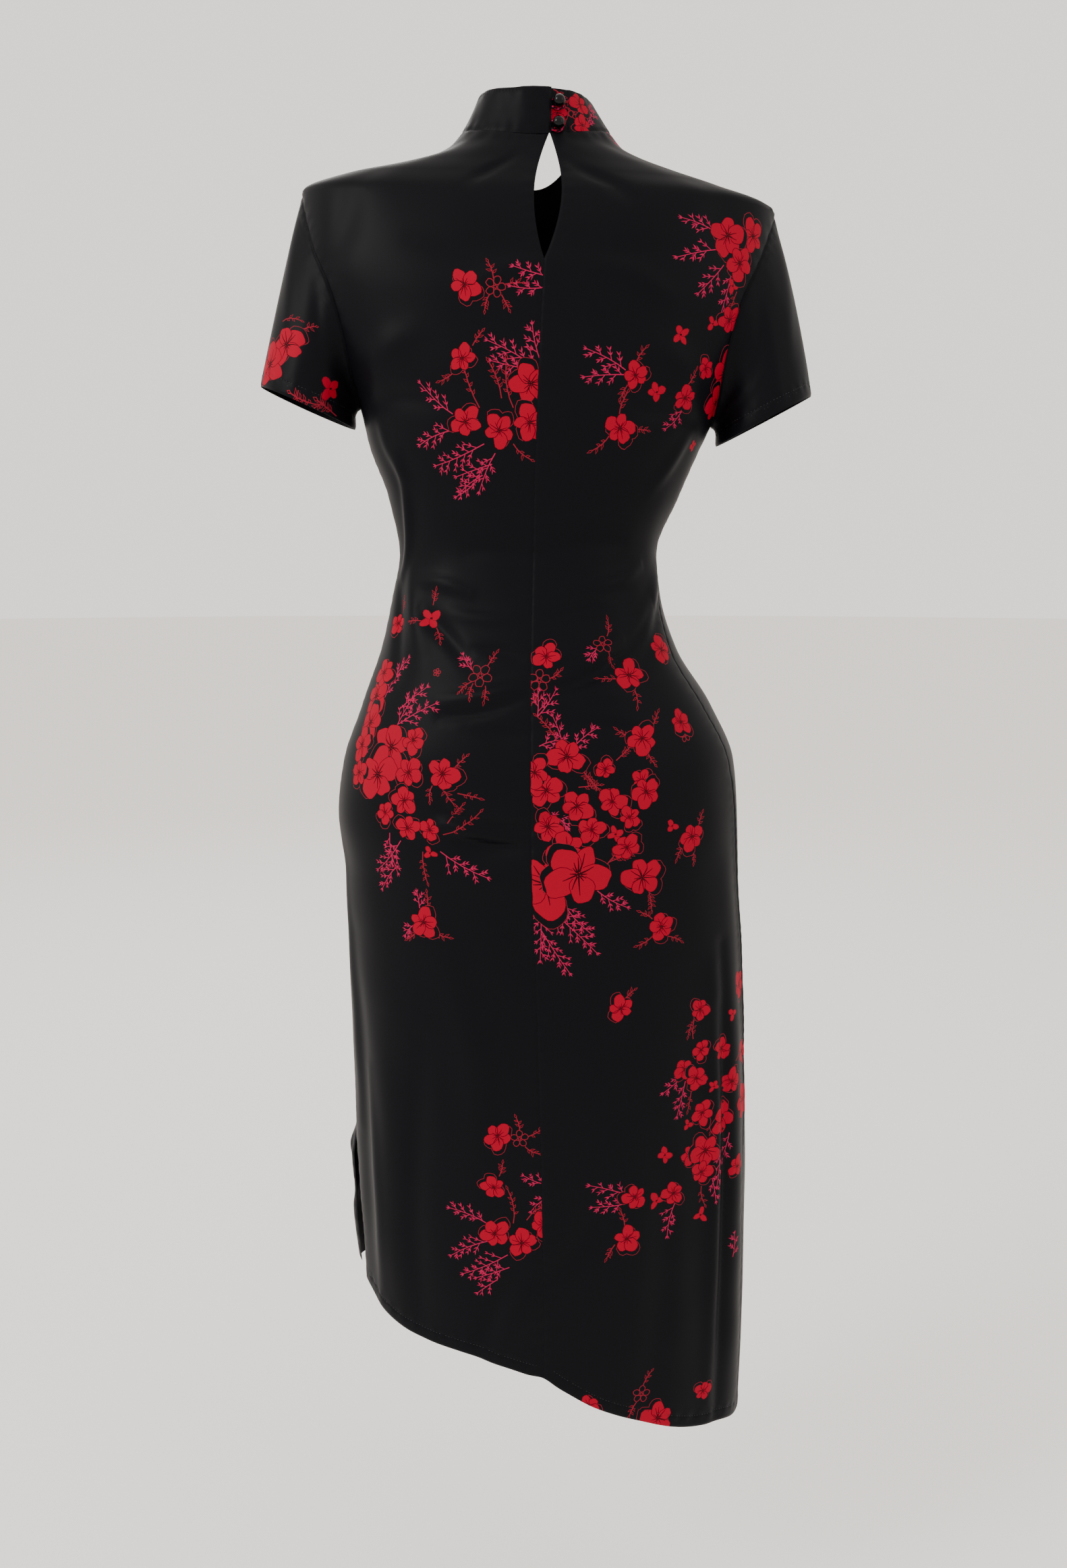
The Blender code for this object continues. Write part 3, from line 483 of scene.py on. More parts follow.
# Motifs on the cloth that the photograph hides: angle and height on the garment, or for a
# sleeve degrees round it from the underarm over the back, and how far down it goes. A row's
# columns are those of Hidden from angle on
Hidden = namedtuple("Hidden", "piece kind angle height size_mm turn")
HIDDEN_MOTIFS = {
    "front": {
        "leaves": [
            ("sprig", 186, -0.76, 36, 150), ("sprig", 194, -0.85, 40, 290),
            ("sprig", 186, -0.87, 38, 255), ("sprig", 180, -0.905, 34, 240),
            ("twig", 245, -0.14, 15, 60), ("sprig", 292, -0.16, 36, 140),
            ("sprig", 290, -0.182, 40, 195), ("sprig", 298, -0.205, 42, 240),
            ("sprig", 308, -0.196, 36, 305), ("sprig", 222, -0.225, 34, 215),
            ("twig", 262, -0.246, 16, 70), ("twig", 272, -0.322, 15, 100),
            ("sprig", 312, -0.505, 34, 120), ("sprig", 300, -0.52, 32, 160),
            ("sprig", 300, -0.65, 42, 240), ("sprig", 310, -0.656, 44, 275),
            ("sprig", 322, -0.656, 40, 310), ("sprig", 222, -0.68, 36, 230),
            ("twig", 300, -0.798, 14, 230), ("sprig", 278, -0.9, 36, 205),
            ("sprig", 282, -0.915, 36, 240), ("sprig", 296, -0.94, 32, 290),
            ("sprig", 222, -1.01, 40, 235), ("sprig", 234, -1.01, 40, 285),
        ],
        "outline": [
            (245, -0.145, 18, 0), (272, -0.33, 17, 0), (246, -0.64, 16, 0), (250, -0.836, 17, 0),
            (250, -1.09, 18, 0),
        ],
        "bud": [
            (190, -0.52, 14, 0), (322, -0.14, 17, 20), (240, -0.232, 18, 10),
            (230, -0.372, 12, 0), (296, -0.432, 14, 60), (262, -0.76, 14, 0), (262, -1, 17, 12),
        ],
        "flower": [
            (184, -0.7, 28, 30), (182, -0.735, 30, 10), (188, -0.775, 32, 45),
            (180, -0.8, 26, 62), (186, -0.83, 30, 22), (196, -0.8, 28, 55), (198, -0.755, 26, 15),
            (182, -0.56, 24, 33), (236, -0.14, 28, 12), (300, -0.15, 36, 44),
            (308, -0.176, 29, 8), (296, -0.186, 30, 61), (226, -0.215, 26, 50),
            (258, -0.255, 24, 38), (284, -0.3, 28, 17), (312, -0.33, 22, 55),
            (246, -0.44, 22, 25), (316, -0.52, 28, 6), (306, -0.545, 30, 41),
            (320, -0.56, 46, 28), (300, -0.575, 26, 64), (310, -0.592, 29, 13),
            (326, -0.6, 26, 50), (292, -0.604, 27, 35), (302, -0.628, 28, 2),
            (318, -0.636, 24, 59), (250, -0.56, 26, 22), (236, -0.6, 24, 57),
            (262, -0.622, 27, 10), (224, -0.66, 28, 46), (278, -0.7, 22, 31),
            (306, -0.79, 23, 18), (240, -0.83, 26, 53), (284, -0.89, 28, 26),
            (292, -0.925, 28, 48), (226, -0.95, 29, 7), (236, -0.985, 27, 63),
            (220, -0.99, 25, 34), (322, -0.96, 25, 43), (306, -1.03, 22, 20),
            (204, -1.09, 28, 54),
        ],
    },
    "sleeve_left": {
        "leaves": [
            ("twig", 92, 0.9, 18, 290), ("twig", 104, 0.52, 14, 75), ("twig", 128, 0.6, 18, 70),
            ("twig", 56, 0.7, 22, 262), ("twig", 66, 0.92, 26, 200), ("twig", 44, 0.94, 22, 170),
            ("sprig", 236, 0.58, 34, 250),
        ],
        "bud": [
            (58, 0.62, 22, 80), (262, 0.72, 16, 0),
        ],
        "flower": [
            (116, 0.68, 38, 25), (138, 0.86, 40, 60), (230, 0.48, 28, 15),
        ],
    },
    "sleeve_right": {
        "leaves": [
            ("sprig", 228, 0.6, 34, 230), ("twig", 214, 0.72, 18, 260),
        ],
        "bud": [
            (272, 0.78, 16, 30),
        ],
        "flower": [
            (236, 0.42, 30, 40), (246, 0.62, 28, 10),
        ],
    },
    "collar": {
        "leaves": [
            ("sprig", 252, 0, 18, 10),
        ],
        "bud": [
            (190, 0, 12, 50),
        ],
        "flower": [
            (246, -0.001, 18, 30), (214, 0.006, 16, 12), (300, 0.004, 17, 54),
        ],
    },
}


def smooth_curve(places, values, at):
    """A monotone cubic through the values, read at the given places."""
    x = np.asarray(places, float)
    y = np.asarray(values, float)
    step = np.diff(x)
    slope = np.diff(y) / step
    tangent = np.zeros_like(y)
    tangent[0], tangent[-1] = slope[0], slope[-1]
    for i in range(1, len(x) - 1):
        if slope[i - 1] * slope[i] > 0:
            before = 2 * step[i] + step[i - 1]
            after = step[i] + 2 * step[i - 1]
            tangent[i] = (before + after) / (before / slope[i - 1] + after / slope[i])
    at = np.clip(np.asarray(at, float), x[0], x[-1])
    i = np.clip(np.searchsorted(x, at, side="right") - 1, 0, len(x) - 2)
    s = (at - x[i]) / step[i]
    return (
        y[i] * (1 + 2 * s) * (1 - s) ** 2
        + tangent[i] * step[i] * s * (1 - s) ** 2
        + y[i + 1] * s * s * (3 - 2 * s)
        + tangent[i + 1] * step[i] * s * s * (s - 1)
    )


RINGS = [
    HighRing(r.height, r.height, r.height, r.height, r.left, r.right, r.back, r.front)
    for r in BODY_RINGS
] + list(HIGH_RINGS)


def ring_value(name, height):
    return smooth_curve([r.height for r in RINGS], [getattr(r, name) for r in RINGS], height)


def seam_value(name, height):
    return smooth_curve(
        [r.height for r in SEAM_ROWS], [getattr(r, name) for r in SEAM_ROWS], height
    )


def fold_lift(folds, angle, height):
    """How far the folds lift the cloth at a place."""
    angles, heights = np.broadcast_arrays(angle, height)
    lift = np.zeros(angles.size)
    flat_angles, flat_heights = angles.ravel(), heights.ravel()
    for fold in folds:
        reach = 3 * fold.half_width + abs(fold.bow)
        low = min(fold.from_height, fold.to_height) - reach
        high = max(fold.from_height, fold.to_height) + reach
        rows = np.flatnonzero((flat_heights > low) & (flat_heights < high))
        turn = (flat_angles[rows] - fold.from_angle + 180) % 360 - 180
        spare = math.degrees(reach / FOLD_RADIUS)
        span = fold.to_angle - fold.from_angle
        near = (turn > min(0, span) - spare) & (turn < max(0, span) + spare)
        rows, turn = rows[near], turn[near]
        across = np.radians(turn) * FOLD_RADIUS
        up = flat_heights[rows] - fold.from_height
        end = (math.radians(span) * FOLD_RADIUS, fold.to_height - fold.from_height)
        length = math.hypot(*end)
        along = np.clip((across * end[0] + up * end[1]) / length, 0, length)
        share = along / length
        sag = fold.bow * np.sin(np.pi * share)
        off_x = across - along * end[0] / length + sag * end[1] / length
        off_y = up - along * end[1] / length - sag * end[0] / length
        taper = 0.35 + 0.65 * np.sin(np.pi * share)
        away = np.hypot(off_x, off_y)
        lift[rows] += fold.lift * taper * np.exp(-((away / fold.half_width) ** 2))
    return lift.reshape(angles.shape)


def plain_garment(angle, height):
    """The surface without folds, as an array of points."""
    angle, height = np.broadcast_arrays(np.asarray(angle, float), np.asarray(height, float))
    c = np.cos(np.radians(angle))
    s = np.sin(np.radians(angle))
    wide = np.where(c > 0, ring_value("left", height), ring_value("right", height))
    deep = np.where(s > 0, ring_value("back", height), ring_value("front", height))
    side_z = np.where(c > 0, ring_value("left_z", height), ring_value("right_z", height))
    end_z = np.where(s > 0, height, ring_value("front_z", height))
    x = wide * c * (1 + ROUNDNESS * s * s)
    y = deep * s * (1 + ROUNDNESS * c * c)
    z = side_z * c * c + end_z * s * s
    return np.stack([x, y, z], axis=-1)


def unit(vectors):
    return vectors / np.maximum(np.linalg.norm(vectors, axis=-1, keepdims=True), 1e-12)


def surface_frame(surface, angle, height):
    """The surface's points and outward normals."""
    turn, rise = 0.2, 0.0004
    round_way = surface(angle + turn, height) - surface(angle - turn, height)
    up_way = surface(angle, height + rise) - surface(angle, height - rise)
    return surface(angle, height), unit(np.cross(round_way, up_way))


def undulation(angle, height):
    """The cloth's slight unevenness."""
    a = np.radians(angle)
    return UNEVENNESS * (
        np.sin(7 * a + 31 * height) * np.sin(3 * a - 47 * height + 1.0)
        + np.sin(13 * a - 22 * height + 2.0) * np.sin(5 * a + 66 * height)
    )


def garment(angle, height):
    """The surface with the solids' folds and the finer creases."""
    points, normal = surface_frame(plain_garment, angle, height)
    lift = fold_lift(FOLDS, angle, height) + undulation(angle, height)
    lift = lift + CREASE_STRENGTH * fold_lift(CREASES, angle, height)
    return points + normal * lift[..., None]


def metres_per_degree(angle, height):
    ahead = plain_garment(angle + 0.1, height)
    behind = plain_garment(angle - 0.1, height)
    return np.linalg.norm(ahead - behind, axis=-1) / 0.2


def metres_per_height(angle, height):
    above = plain_garment(angle, height + 0.0002)
    below = plain_garment(angle, height - 0.0002)
    return np.linalg.norm(above - below, axis=-1) / 0.0004


def angle_at_x(x, height):
    """The back's angle at a place across."""
    c = np.zeros(np.broadcast(x, height).shape)
    for _ in range(5):
        wide = np.where(np.asarray(x) > 0, ring_value("left", height), ring_value("right", height))
        c = x / (wide * (1 + ROUNDNESS * (1 - c * c)))
    return np.degrees(np.arccos(c))


def turn_at_depth(depth, height, side):
    """How many degrees from the side a ring reaches a depth towards the back or front."""
    deep = ring_value(side, height)
    s = np.zeros_like(deep)
    for _ in range(5):
        s = depth / (deep * (1 + ROUNDNESS * (1 - s * s)))
    return np.degrees(np.arcsin(s))


def hem_height(across):
    return smooth_curve([p.across for p in HEM], [p.height for p in HEM], across)


def armhole_turn(height, side):
    """Degrees from the side to the edge of the armhole."""
    opening = ARMHOLE_BACK if side == "back" else ARMHOLE_FRONT
    share = np.clip((height - UNDERARM) / (SHOULDER_TIP - UNDERARM), 0, 1)
    return turn_at_depth(opening * np.sin(np.pi * share) ** 0.6, height, side)


def keyhole_half_width(height):
    share = np.clip((NECKLINE - height) / (NECKLINE - KEYHOLE_BOTTOM), 0, 1)
    return KEYHOLE_WIDTH / 2 * np.sin(np.pi * share) ** 0.9


def centre_back(height, side):
    x = seam_value("centre_back", height) + side * keyhole_half_width(height)
    return angle_at_x(x, height)


def left_side(height, face):
    if face == "back":
        share = np.clip((SLIT_TOP - height) / SLIT_LENGTH, 0, 1)
        spread = SLIT_SPREAD * (1 - (1 - share) ** 2)
        slit = np.degrees(spread / ring_value("back", height))
        return seam_value("left_turn", height) + armhole_turn(height, "back") + slit
    return seam_value("left_turn", height) - armhole_turn(height, "front")


def right_side(height, face):
    turn = armhole_turn(height, face)
    return 180 - seam_value("right_turn", height) + (-turn if face == "back" else turn)


def collar_edge(height):
    """Angles of the collar's two ends: the one below the lap and the lapping one."""
    edge = angle_at_x(COLLAR_EDGE_X, height)
    return edge - COLLAR_LAP / metres_per_degree(edge, height), edge + 360


def lap_share(angle, height):
    """How much of the lap's lift the collar has at a place."""
    under, end = collar_edge(height)
    held = end - 360 - under + 3
    ease = np.clip(1 - (end - angle - held) / LAP_EASE, 0, 1)
    return ease * ease * (3 - 2 * ease)


def stand_share(angle, height):
    """How much of the button stand's step the collar has at a place."""
    past = angle - angle_at_x(STAND_EDGE_X, height)
    return np.clip(past / STAND_RAMP, 0, 1) * np.clip(1 - past / STAND_FADE, 0, 1)


def collar_surface(angle, height):
    """The collar: lifted where it laps, and a step up where the button stand goes under it."""
    points, normal = surface_frame(garment, angle, height)
    rise = np.clip((height - NECKLINE) / LIFT_RISE, 0, 1)
    lift = LAP_LIFT * lap_share(angle, height) * (0.42 + 0.58 * rise)
    lift = lift + STAND_STEP * stand_share(angle, height)
    return points + normal * lift[..., None]


def stand_lines():
    """The two lines along the button stand's edge that the collar's mesh follows."""
    rise = np.linspace(NECKLINE + 0.0008, COLLAR_TOP - 0.0008, 14)
    edge = angle_at_x(STAND_EDGE_X, rise)
    return [np.vstack([to_uv(edge, rise), to_uv(edge + STAND_RAMP, rise)[::-1]])]


def collar_foot(angle):
    """The collar's lower edge: over the neckline, most where the collar stands off it."""
    level = np.full(angle.shape, NECKLINE)
    at_lap = FOOT_DROP_AT_LAP * lap_share(angle, level)
    return NECKLINE - FOOT_DROP - (at_lap + FOOT_DROP_AT_STAND * stand_share(angle, level))


# The flat pattern that print and mesh are laid out on: u round the body, v up it
U_PER_DEGREE = 0.0027
V_HEIGHTS = np.linspace(-1.240, 0.034, 1400)
V_RISE = metres_per_height(np.full(1400, 35.0), V_HEIGHTS)
V_LEVELS = np.concatenate([[0], np.cumsum((V_RISE[1:] + V_RISE[:-1]) / 2 * np.diff(V_HEIGHTS))])


def to_uv(angle, height):
    angle, height = np.broadcast_arrays(angle, height)
    return np.stack([angle * U_PER_DEGREE, np.interp(height, V_HEIGHTS, V_LEVELS)], axis=-1)


def from_uv(uv):
    return uv[..., 0] / U_PER_DEGREE, np.interp(uv[..., 1], V_LEVELS, V_HEIGHTS)


def body_map(uv):
    return surface_frame(garment, *from_uv(uv))


def collar_map(uv):
    return surface_frame(collar_surface, *from_uv(uv))


def panel_outline(first_edge, last_edge, first_gap, last_gap, kinds, top=NECKLINE, low=None):
    """A panel's outline in uv, anticlockwise from its first edge's foot, and each side's kind."""
    sides = []

    def edge_angle(edge, gap, height):
        return edge(height) + gap / metres_per_degree(edge(height), height)

    def at_share(share, height):
        first = edge_angle(first_edge, first_gap, height)
        last = edge_angle(last_edge, last_gap, height)
        return first * (1 - share) + last * share

    share = np.linspace(0, 1, 400)
    if low is None:
        angles = at_share(share, np.full(400, HEM_LEVEL))
        across = plain_garment(angles, HEM_LEVEL)[:, 0]
        off = across - seam_value("centre_back", HEM_LEVEL)
        notch = HEM_NOTCH * np.exp(-((off / HEM_NOTCH_WIDTH) ** 2))
        foot = hem_height(across) + np.where(angles < 180, notch, 0)
    else:
        foot = low(at_share(share, np.full(400, NECKLINE)))
    head = np.full(400, top) + SEAM_OVERLAP
    sides.append(to_uv(at_share(share, foot), foot))
    rise = np.linspace(foot[-1], head[-1], 1200)
    sides.append(to_uv(edge_angle(last_edge, last_gap, rise), rise))
    sides.append(to_uv(at_share(share, head), head)[::-1])
    rise = np.linspace(head[0], foot[0], 1200)
    sides.append(to_uv(edge_angle(first_edge, first_gap, rise), rise))
    return list(zip(sides, kinds))


def sleeve_grid(name):
    """A sleeve's surface as a grid of points: round it from the underarm, and down it."""
    side = 1 if name == "sleeve_left" else -1
    cuff = SLEEVES[name]

    def armhole(turns):
        share = (1 - np.cos(turns)) / 2
        heights = UNDERARM + (SHOULDER_TIP - UNDERARM) * share
        back = turns <= np.pi
        turn = np.where(back, armhole_turn(heights, "back"), -armhole_turn(heights, "front"))
        return share, *surface_frame(garment, turn if side > 0 else 180 - turn, heights)

    turns = np.linspace(0, 2 * np.pi, 241)
    share, start, normal = armhole(turns)
    step = np.pi / ARMHOLE_STEPS
    _, ahead, _ = armhole((turns + step) % (2 * np.pi))
    _, behind, _ = armhole((turns - step) % (2 * np.pi))
    inward = np.cross(unit(ahead - behind), normal)
    middle = start[:-1].mean(axis=0)
    inward *= np.sign(((middle - start) * inward).sum(axis=-1, keepdims=True))
    tip = share**0.7
    turn_out = np.radians(LEAVE_TURN) * tip
    leave = normal * np.cos(turn_out)[:, None] + inward * np.sin(turn_out)[:, None]
    start = start + inward * (WALL / 2 * np.cos(turn_out) - SEAM_OVERLAP)[:, None]
    low = np.array([cuff.inner_x * side, cuff.centre_y, cuff.inner_z])
    high = np.array([cuff.outer_x * side, cuff.centre_y, cuff.outer_z])
    end = (
        (low + high) / 2
        - np.cos(turns)[:, None] * (high - low) / 2
        + np.sin(turns)[:, None] * np.array([0, CUFF_HALF_DEPTH, 0])
    )
    arrive = unit(np.array([cuff.lean * side, 0, -1.0]))
    span = np.linalg.norm(end - start, axis=-1)
    first = start + leave * (LEAVE_START + LEAVE_SHARE * span + cuff.puff * tip)[:, None]
    second = end - arrive * (ARRIVE_SHARE * span)[:, None]
    down = np.linspace(0, 1, 121)[:, None, None]
    grid = (
        start * (1 - down) ** 3
        + 3 * first * down * (1 - down) ** 2
        + 3 * second * down**2 * (1 - down)
        + end * down**3
    )
    return grid.transpose(1, 0, 2), side


SleeveFold = namedtuple("SleeveFold", "from_turn from_down to_turn to_down half_width lift")
SLEEVE_FOLDS = (
    SleeveFold(150, 0.10, 120, 0.62, 0.012, 0.0014),
    SleeveFold(110, 0.06, 80, 0.50, 0.010, -0.0014),
    SleeveFold(180, 0.12, 176, 0.70, 0.012, -0.0012),
    SleeveFold(30, 0.20, 64, 0.60, 0.009, 0.0016),
    SleeveFold(210, 0.10, 240, 0.62, 0.012, 0.0014),
    SleeveFold(250, 0.06, 282, 0.50, 0.010, -0.0014),
    SleeveFold(330, 0.20, 296, 0.60, 0.009, 0.0016),
    SleeveFold(96, 0.55, 100, 0.95, 0.010, 0.0010),
    SleeveFold(262, 0.55, 258, 0.95, 0.010, 0.0010),
)


def sleeve_map(name):
    """The sleeve's surface over its flat pattern."""
    grid, side = sleeve_grid(name)
    round_step = np.gradient(grid, axis=0)
    round_step[0] = round_step[-1] = (grid[1] - grid[-2]) / 2
    down_step = np.gradient(grid, axis=1)
    normals = unit(np.cross(down_step, round_step))
    outward = np.sign(((grid - grid.mean(axis=0)) * normals).sum())
    normals = normals * outward
    turns, downs = np.meshgrid(
        np.linspace(0, 360, grid.shape[0]), np.linspace(0, 1, grid.shape[1]), indexing="ij"
    )
    lift = np.zeros(turns.shape)
    for fold in SLEEVE_FOLDS:
        start = np.array([fold.from_turn * 0.001, fold.from_down * SLEEVE_DOWN])
        way = np.array([fold.to_turn * 0.001, fold.to_down * SLEEVE_DOWN]) - start
        length = np.linalg.norm(way)
        off = np.stack([turns * 0.001, downs * SLEEVE_DOWN], axis=-1) - start
        along = np.clip(off @ way / length, 0, length)
        away = np.linalg.norm(off - along[..., None] * way / length, axis=-1)
        swell = 0.3 + 0.7 * np.sin(np.pi * along / length)
        lift += fold.lift * swell * np.exp(-((away / fold.half_width) ** 2))
    grid = grid + normals * lift[..., None]
    round_step = np.gradient(grid, axis=0)
    down_step = np.gradient(grid, axis=1)
    normals = unit(np.cross(down_step, round_step)) * outward

    def lookup(uv):
        share = uv[..., 0] / SLEEVE_ROUND
        if side > 0:
            share = 1 - share
        i = share * (grid.shape[0] - 1)
        j = (1 - uv[..., 1] / SLEEVE_DOWN) * (grid.shape[1] - 1)
        i0 = np.clip(i.astype(int), 0, grid.shape[0] - 2)
        j0 = np.clip(j.astype(int), 0, grid.shape[1] - 2)
        a = (i - i0)[..., None]
        b = (j - j0)[..., None]
        blend = []
        for table in (grid, normals):
            near = table[i0, j0] * (1 - b) + table[i0, j0 + 1] * b
            far = table[i0 + 1, j0] * (1 - b) + table[i0 + 1, j0 + 1] * b
            blend.append(near * (1 - a) + far * a)
        return blend[0], unit(blend[1])

    return lookup


def sleeve_outline():
    """The sleeve's flat pattern, from the cuff up to the armhole."""
    gap = -SEAM_OVERLAP
    corners = (
        (gap, 0, "hem", SLEEVE_ROUND - gap, 0),
        (SLEEVE_ROUND - gap, 0, "seam", SLEEVE_ROUND - gap, SLEEVE_DOWN),
        (SLEEVE_ROUND - gap, SLEEVE_DOWN, "seam", gap, SLEEVE_DOWN),
        (gap, SLEEVE_DOWN, "seam", gap, 0),
    )
    return [
        (np.linspace((u0, v0), (u1, v1), 400), kind) for u0, v0, kind, u1, v1 in corners
    ]


# Drawing of the motifs: each gives (ink, outline) pairs round the origin, lowest first
LARGE_FLOWER = 0.035
THIN_LINE = 0.0007


def blob(centre, along, across, heading, rng, notch=0.0, points=14):
    """A rounded petal or spot, longest towards its heading."""
    phase = rng.uniform(0, 6.28)
    outline = []
    for i in range(points):
        a = 2 * math.pi * i / points
        tip = math.exp(-((((a + math.pi) % (2 * math.pi) - math.pi) / 0.5) ** 2))
        r = 1 + 0.05 * math.sin(3 * a + phase) + 0.04 * math.sin(5 * a + 2 * phase) - notch * tip
        x = along * r * math.cos(a)
        y = across * r * math.sin(a)
        outline.append((
            centre[0] + x * math.cos(heading) - y * math.sin(heading),
            centre[1] + x * math.sin(heading) + y * math.cos(heading),
        ))
    return outline


def stroke(path, start_width, end_width):
    """A thin line along a path, as an outline."""
    left, right = [], []
    for i, (x, y) in enumerate(path):
        x0, y0 = path[max(i - 1, 0)]
        x1, y1 = path[min(i + 1, len(path) - 1)]
        length = math.hypot(x1 - x0, y1 - y0) or 1.0
        half = (start_width + (end_width - start_width) * i / (len(path) - 1)) / 2
        left.append((x - (y1 - y0) / length * half, y + (x1 - x0) / length * half))
        right.append((x + (y1 - y0) / length * half, y - (x1 - x0) / length * half))
    return left + right[::-1]


def leaf(x, y, heading, length, width):
    """A pointed leaf that starts at a place."""
    shape = ((0, 0.14), (0.42, 0.52), (1, 0))
    side, other = [], []
    for along, half in shape:
        for sign, row in ((1, side), (-1, other)):
            px = along * length
            py = sign * half * width
            row.append((
                x + px * math.cos(heading) - py * math.sin(heading),
                y + px * math.sin(heading) + py * math.cos(heading),
            ))
    return side + other[-2::-1]


def flower(size, rng):
    """An open flower of five full petals with dark strokes and a loose second outline."""
    r = size / 2
    points = 20 if size > LARGE_FLOWER else 13
    start = rng.uniform(0, 360)
    lobes = []
    for k, grow in enumerate((1.12, 0.94, 1.06, 0.88, 1.0)):
        heading = math.radians(start + k * 72 + rng.uniform(-9, 9))
        reach = r * 0.50 * grow
        along = r * rng.uniform(0.44, 0.50) * grow
        across = r * rng.uniform(0.35, 0.44) * grow
        notch = rng.choice((0.0, 0.07, 0.14))
        lobes.append((heading, reach, along, across, notch, rng.random()))

    def petal(lobe, spare, slip=(0, 0)):
        heading, reach, along, across, notch, seed = lobe
        centre = (reach * math.cos(heading) + slip[0], reach * math.sin(heading) + slip[1])
        return blob(
            centre, along + spare, across + spare, heading, random.Random(seed), notch, points
        )

    slip = (rng.uniform(-0.15, 0.15) * r, rng.choice((-0.20, 0.16)) * r)
    shapes = [("line", petal(lobe, 0.0010, slip)) for lobe in lobes[::2]]
    shapes += [("ground", petal(lobe, 0.0005, slip)) for lobe in lobes[::2]]
    rng.shuffle(lobes)
    for lobe in lobes:
        shapes.append(("vein", petal(lobe, 0.0)))
        shapes.append(("red", petal(lobe, -0.0004)))
    shapes.append(("red", blob((0, 0), r * 0.22, r * 0.22, 0, rng, 0, 10)))
    for k in range(12):
        heading = math.radians(start + k * 30 + rng.uniform(-9, 9))
        length = r * rng.choice((0.26, 0.38, 0.50, 0.64))
        side = max(r * 0.026, 0.00026)
        bend = rng.uniform(-0.14, 0.14)
        path = [
            (length * s * math.cos(heading + bend * s), length * s * math.sin(heading + bend * s))
            for s in ((0.08, 0.55, 1.0) if size > LARGE_FLOWER else (0.08, 1.0))
        ]
        shapes.append(("vein", stroke(path, side * 2, side * 0.6)))
    shapes.append(("vein", blob((0, 0), r * 0.10, r * 0.09, 0, rng, 0, 8)))
    for k in range(4):
        heading = math.radians(start + 36 + k * 90)
        spot = (0.06 * r * math.cos(heading), 0.06 * r * math.sin(heading))
        shapes.append(("red", blob(spot, r * 0.02, r * 0.02, 0, rng, 0, 6)))
    return shapes


def bud(size, rng):
    """A small half-open flower of three or four uneven petals."""
    r = size / 2
    petals = rng.choice((3, 4))
    start = rng.uniform(0, 360)
    shapes = []
    for k in range(petals):
        heading = math.radians(start + k * 360 / petals + rng.uniform(-14, 14))
        reach = r * rng.uniform(0.38, 0.52)
        centre = (reach * math.cos(heading), reach * math.sin(heading))
        along = r * rng.uniform(0.46, 0.56)
        seed = rng.random()
        across = r * rng.uniform(0.30, 0.40)
        shapes.append(("rim", blob(centre, along, across, heading, random.Random(seed), 0, 10)))
        shapes.append(("red", blob(
            centre, along - 0.0003, across - 0.0003, heading, random.Random(seed), 0, 10
        )))
    shapes.append(("vein", blob((0, 0), r * 0.12, r * 0.09, 0, rng, 0, 6)))
    return shapes


def outline_flower(size, rng):
    """A flower drawn only in thin line."""
    r = size / 2
    shapes = []
    start = rng.uniform(0, 72)
    for k in range(5):
        heading = math.radians(start + k * 72)
        centre = (0.58 * r * math.cos(heading), 0.58 * r * math.sin(heading))
        seed = rng.random()
        for inset, ink in ((0.0, "line"), (THIN_LINE, "ground")):
            shapes.append((ink, blob(
                centre, r * 0.42 - inset, r * 0.36 - inset, heading, random.Random(seed), 0.08, 10
            )))
    for inset, ink in ((0.0, "line"), (THIN_LINE, "ground")):
        spot = r * 0.18 - inset
        shapes.append((ink, blob((0, 0), spot, spot, 0, rng, 0, 8)))
    return shapes


def bent_stem(size, bend):
    return [(size * s, size * bend * s * s) for s in (0, 0.25, 0.5, 0.75, 1.0)]


def sprig(size, rng):
    """A feathery sprig that grows from the origin along +x, leafy side twigs on both sides."""
    bend = rng.uniform(-0.3, 0.3)
    places = bent_stem(size, bend)
    shapes = [("rose", stroke(places, 0.0009, 0.0006))]
    leaves = []
    count = max(4, int(size / 0.0050))
    for k in range(count):
        s = 0.14 + 0.80 * k / count
        x, y = size * s, size * bend * s * s
        side = 1 if k % 2 else -1
        heading = math.atan2(2 * bend * s, 1) + side * math.radians(rng.uniform(34, 52))
        length = rng.uniform(0.6, 1.3) * (0.0028 + 0.14 * size) * (1.25 - 0.8 * s)
        end = (x + length * math.cos(heading), y + length * math.sin(heading))
        shapes.append(("rose", stroke([(x, y), end], 0.0007, 0.0006)))
        for turn in (-26, 24):
            leaves.append((*end, heading + math.radians(turn + rng.uniform(-8, 8))))
        if length > 0.0036:
            middle = ((x + end[0]) / 2, (y + end[1]) / 2)
            leaves.append((*middle, heading + side * 0.65))
            leaves.append((*middle, heading - side * 0.60))
    for turn in (-30, 2, 32):
        leaves.append((*places[-1], math.atan2(2 * bend, 1) + math.radians(turn)))
    for number, (x, y, heading) in enumerate(leaves):
        length, width = rng.uniform(0.0030, 0.0048), rng.uniform(0.0009, 0.0014)
        shapes.append(("rose", leaf(x, y, heading, length, width)))
        if number % 3 == 0:
            back = 0.0005
            shapes.append(("plum", leaf(
                x + back * math.cos(heading), y + back * math.sin(heading), heading,
                length - 2.4 * back, width * 0.5,
            )))
    return shapes


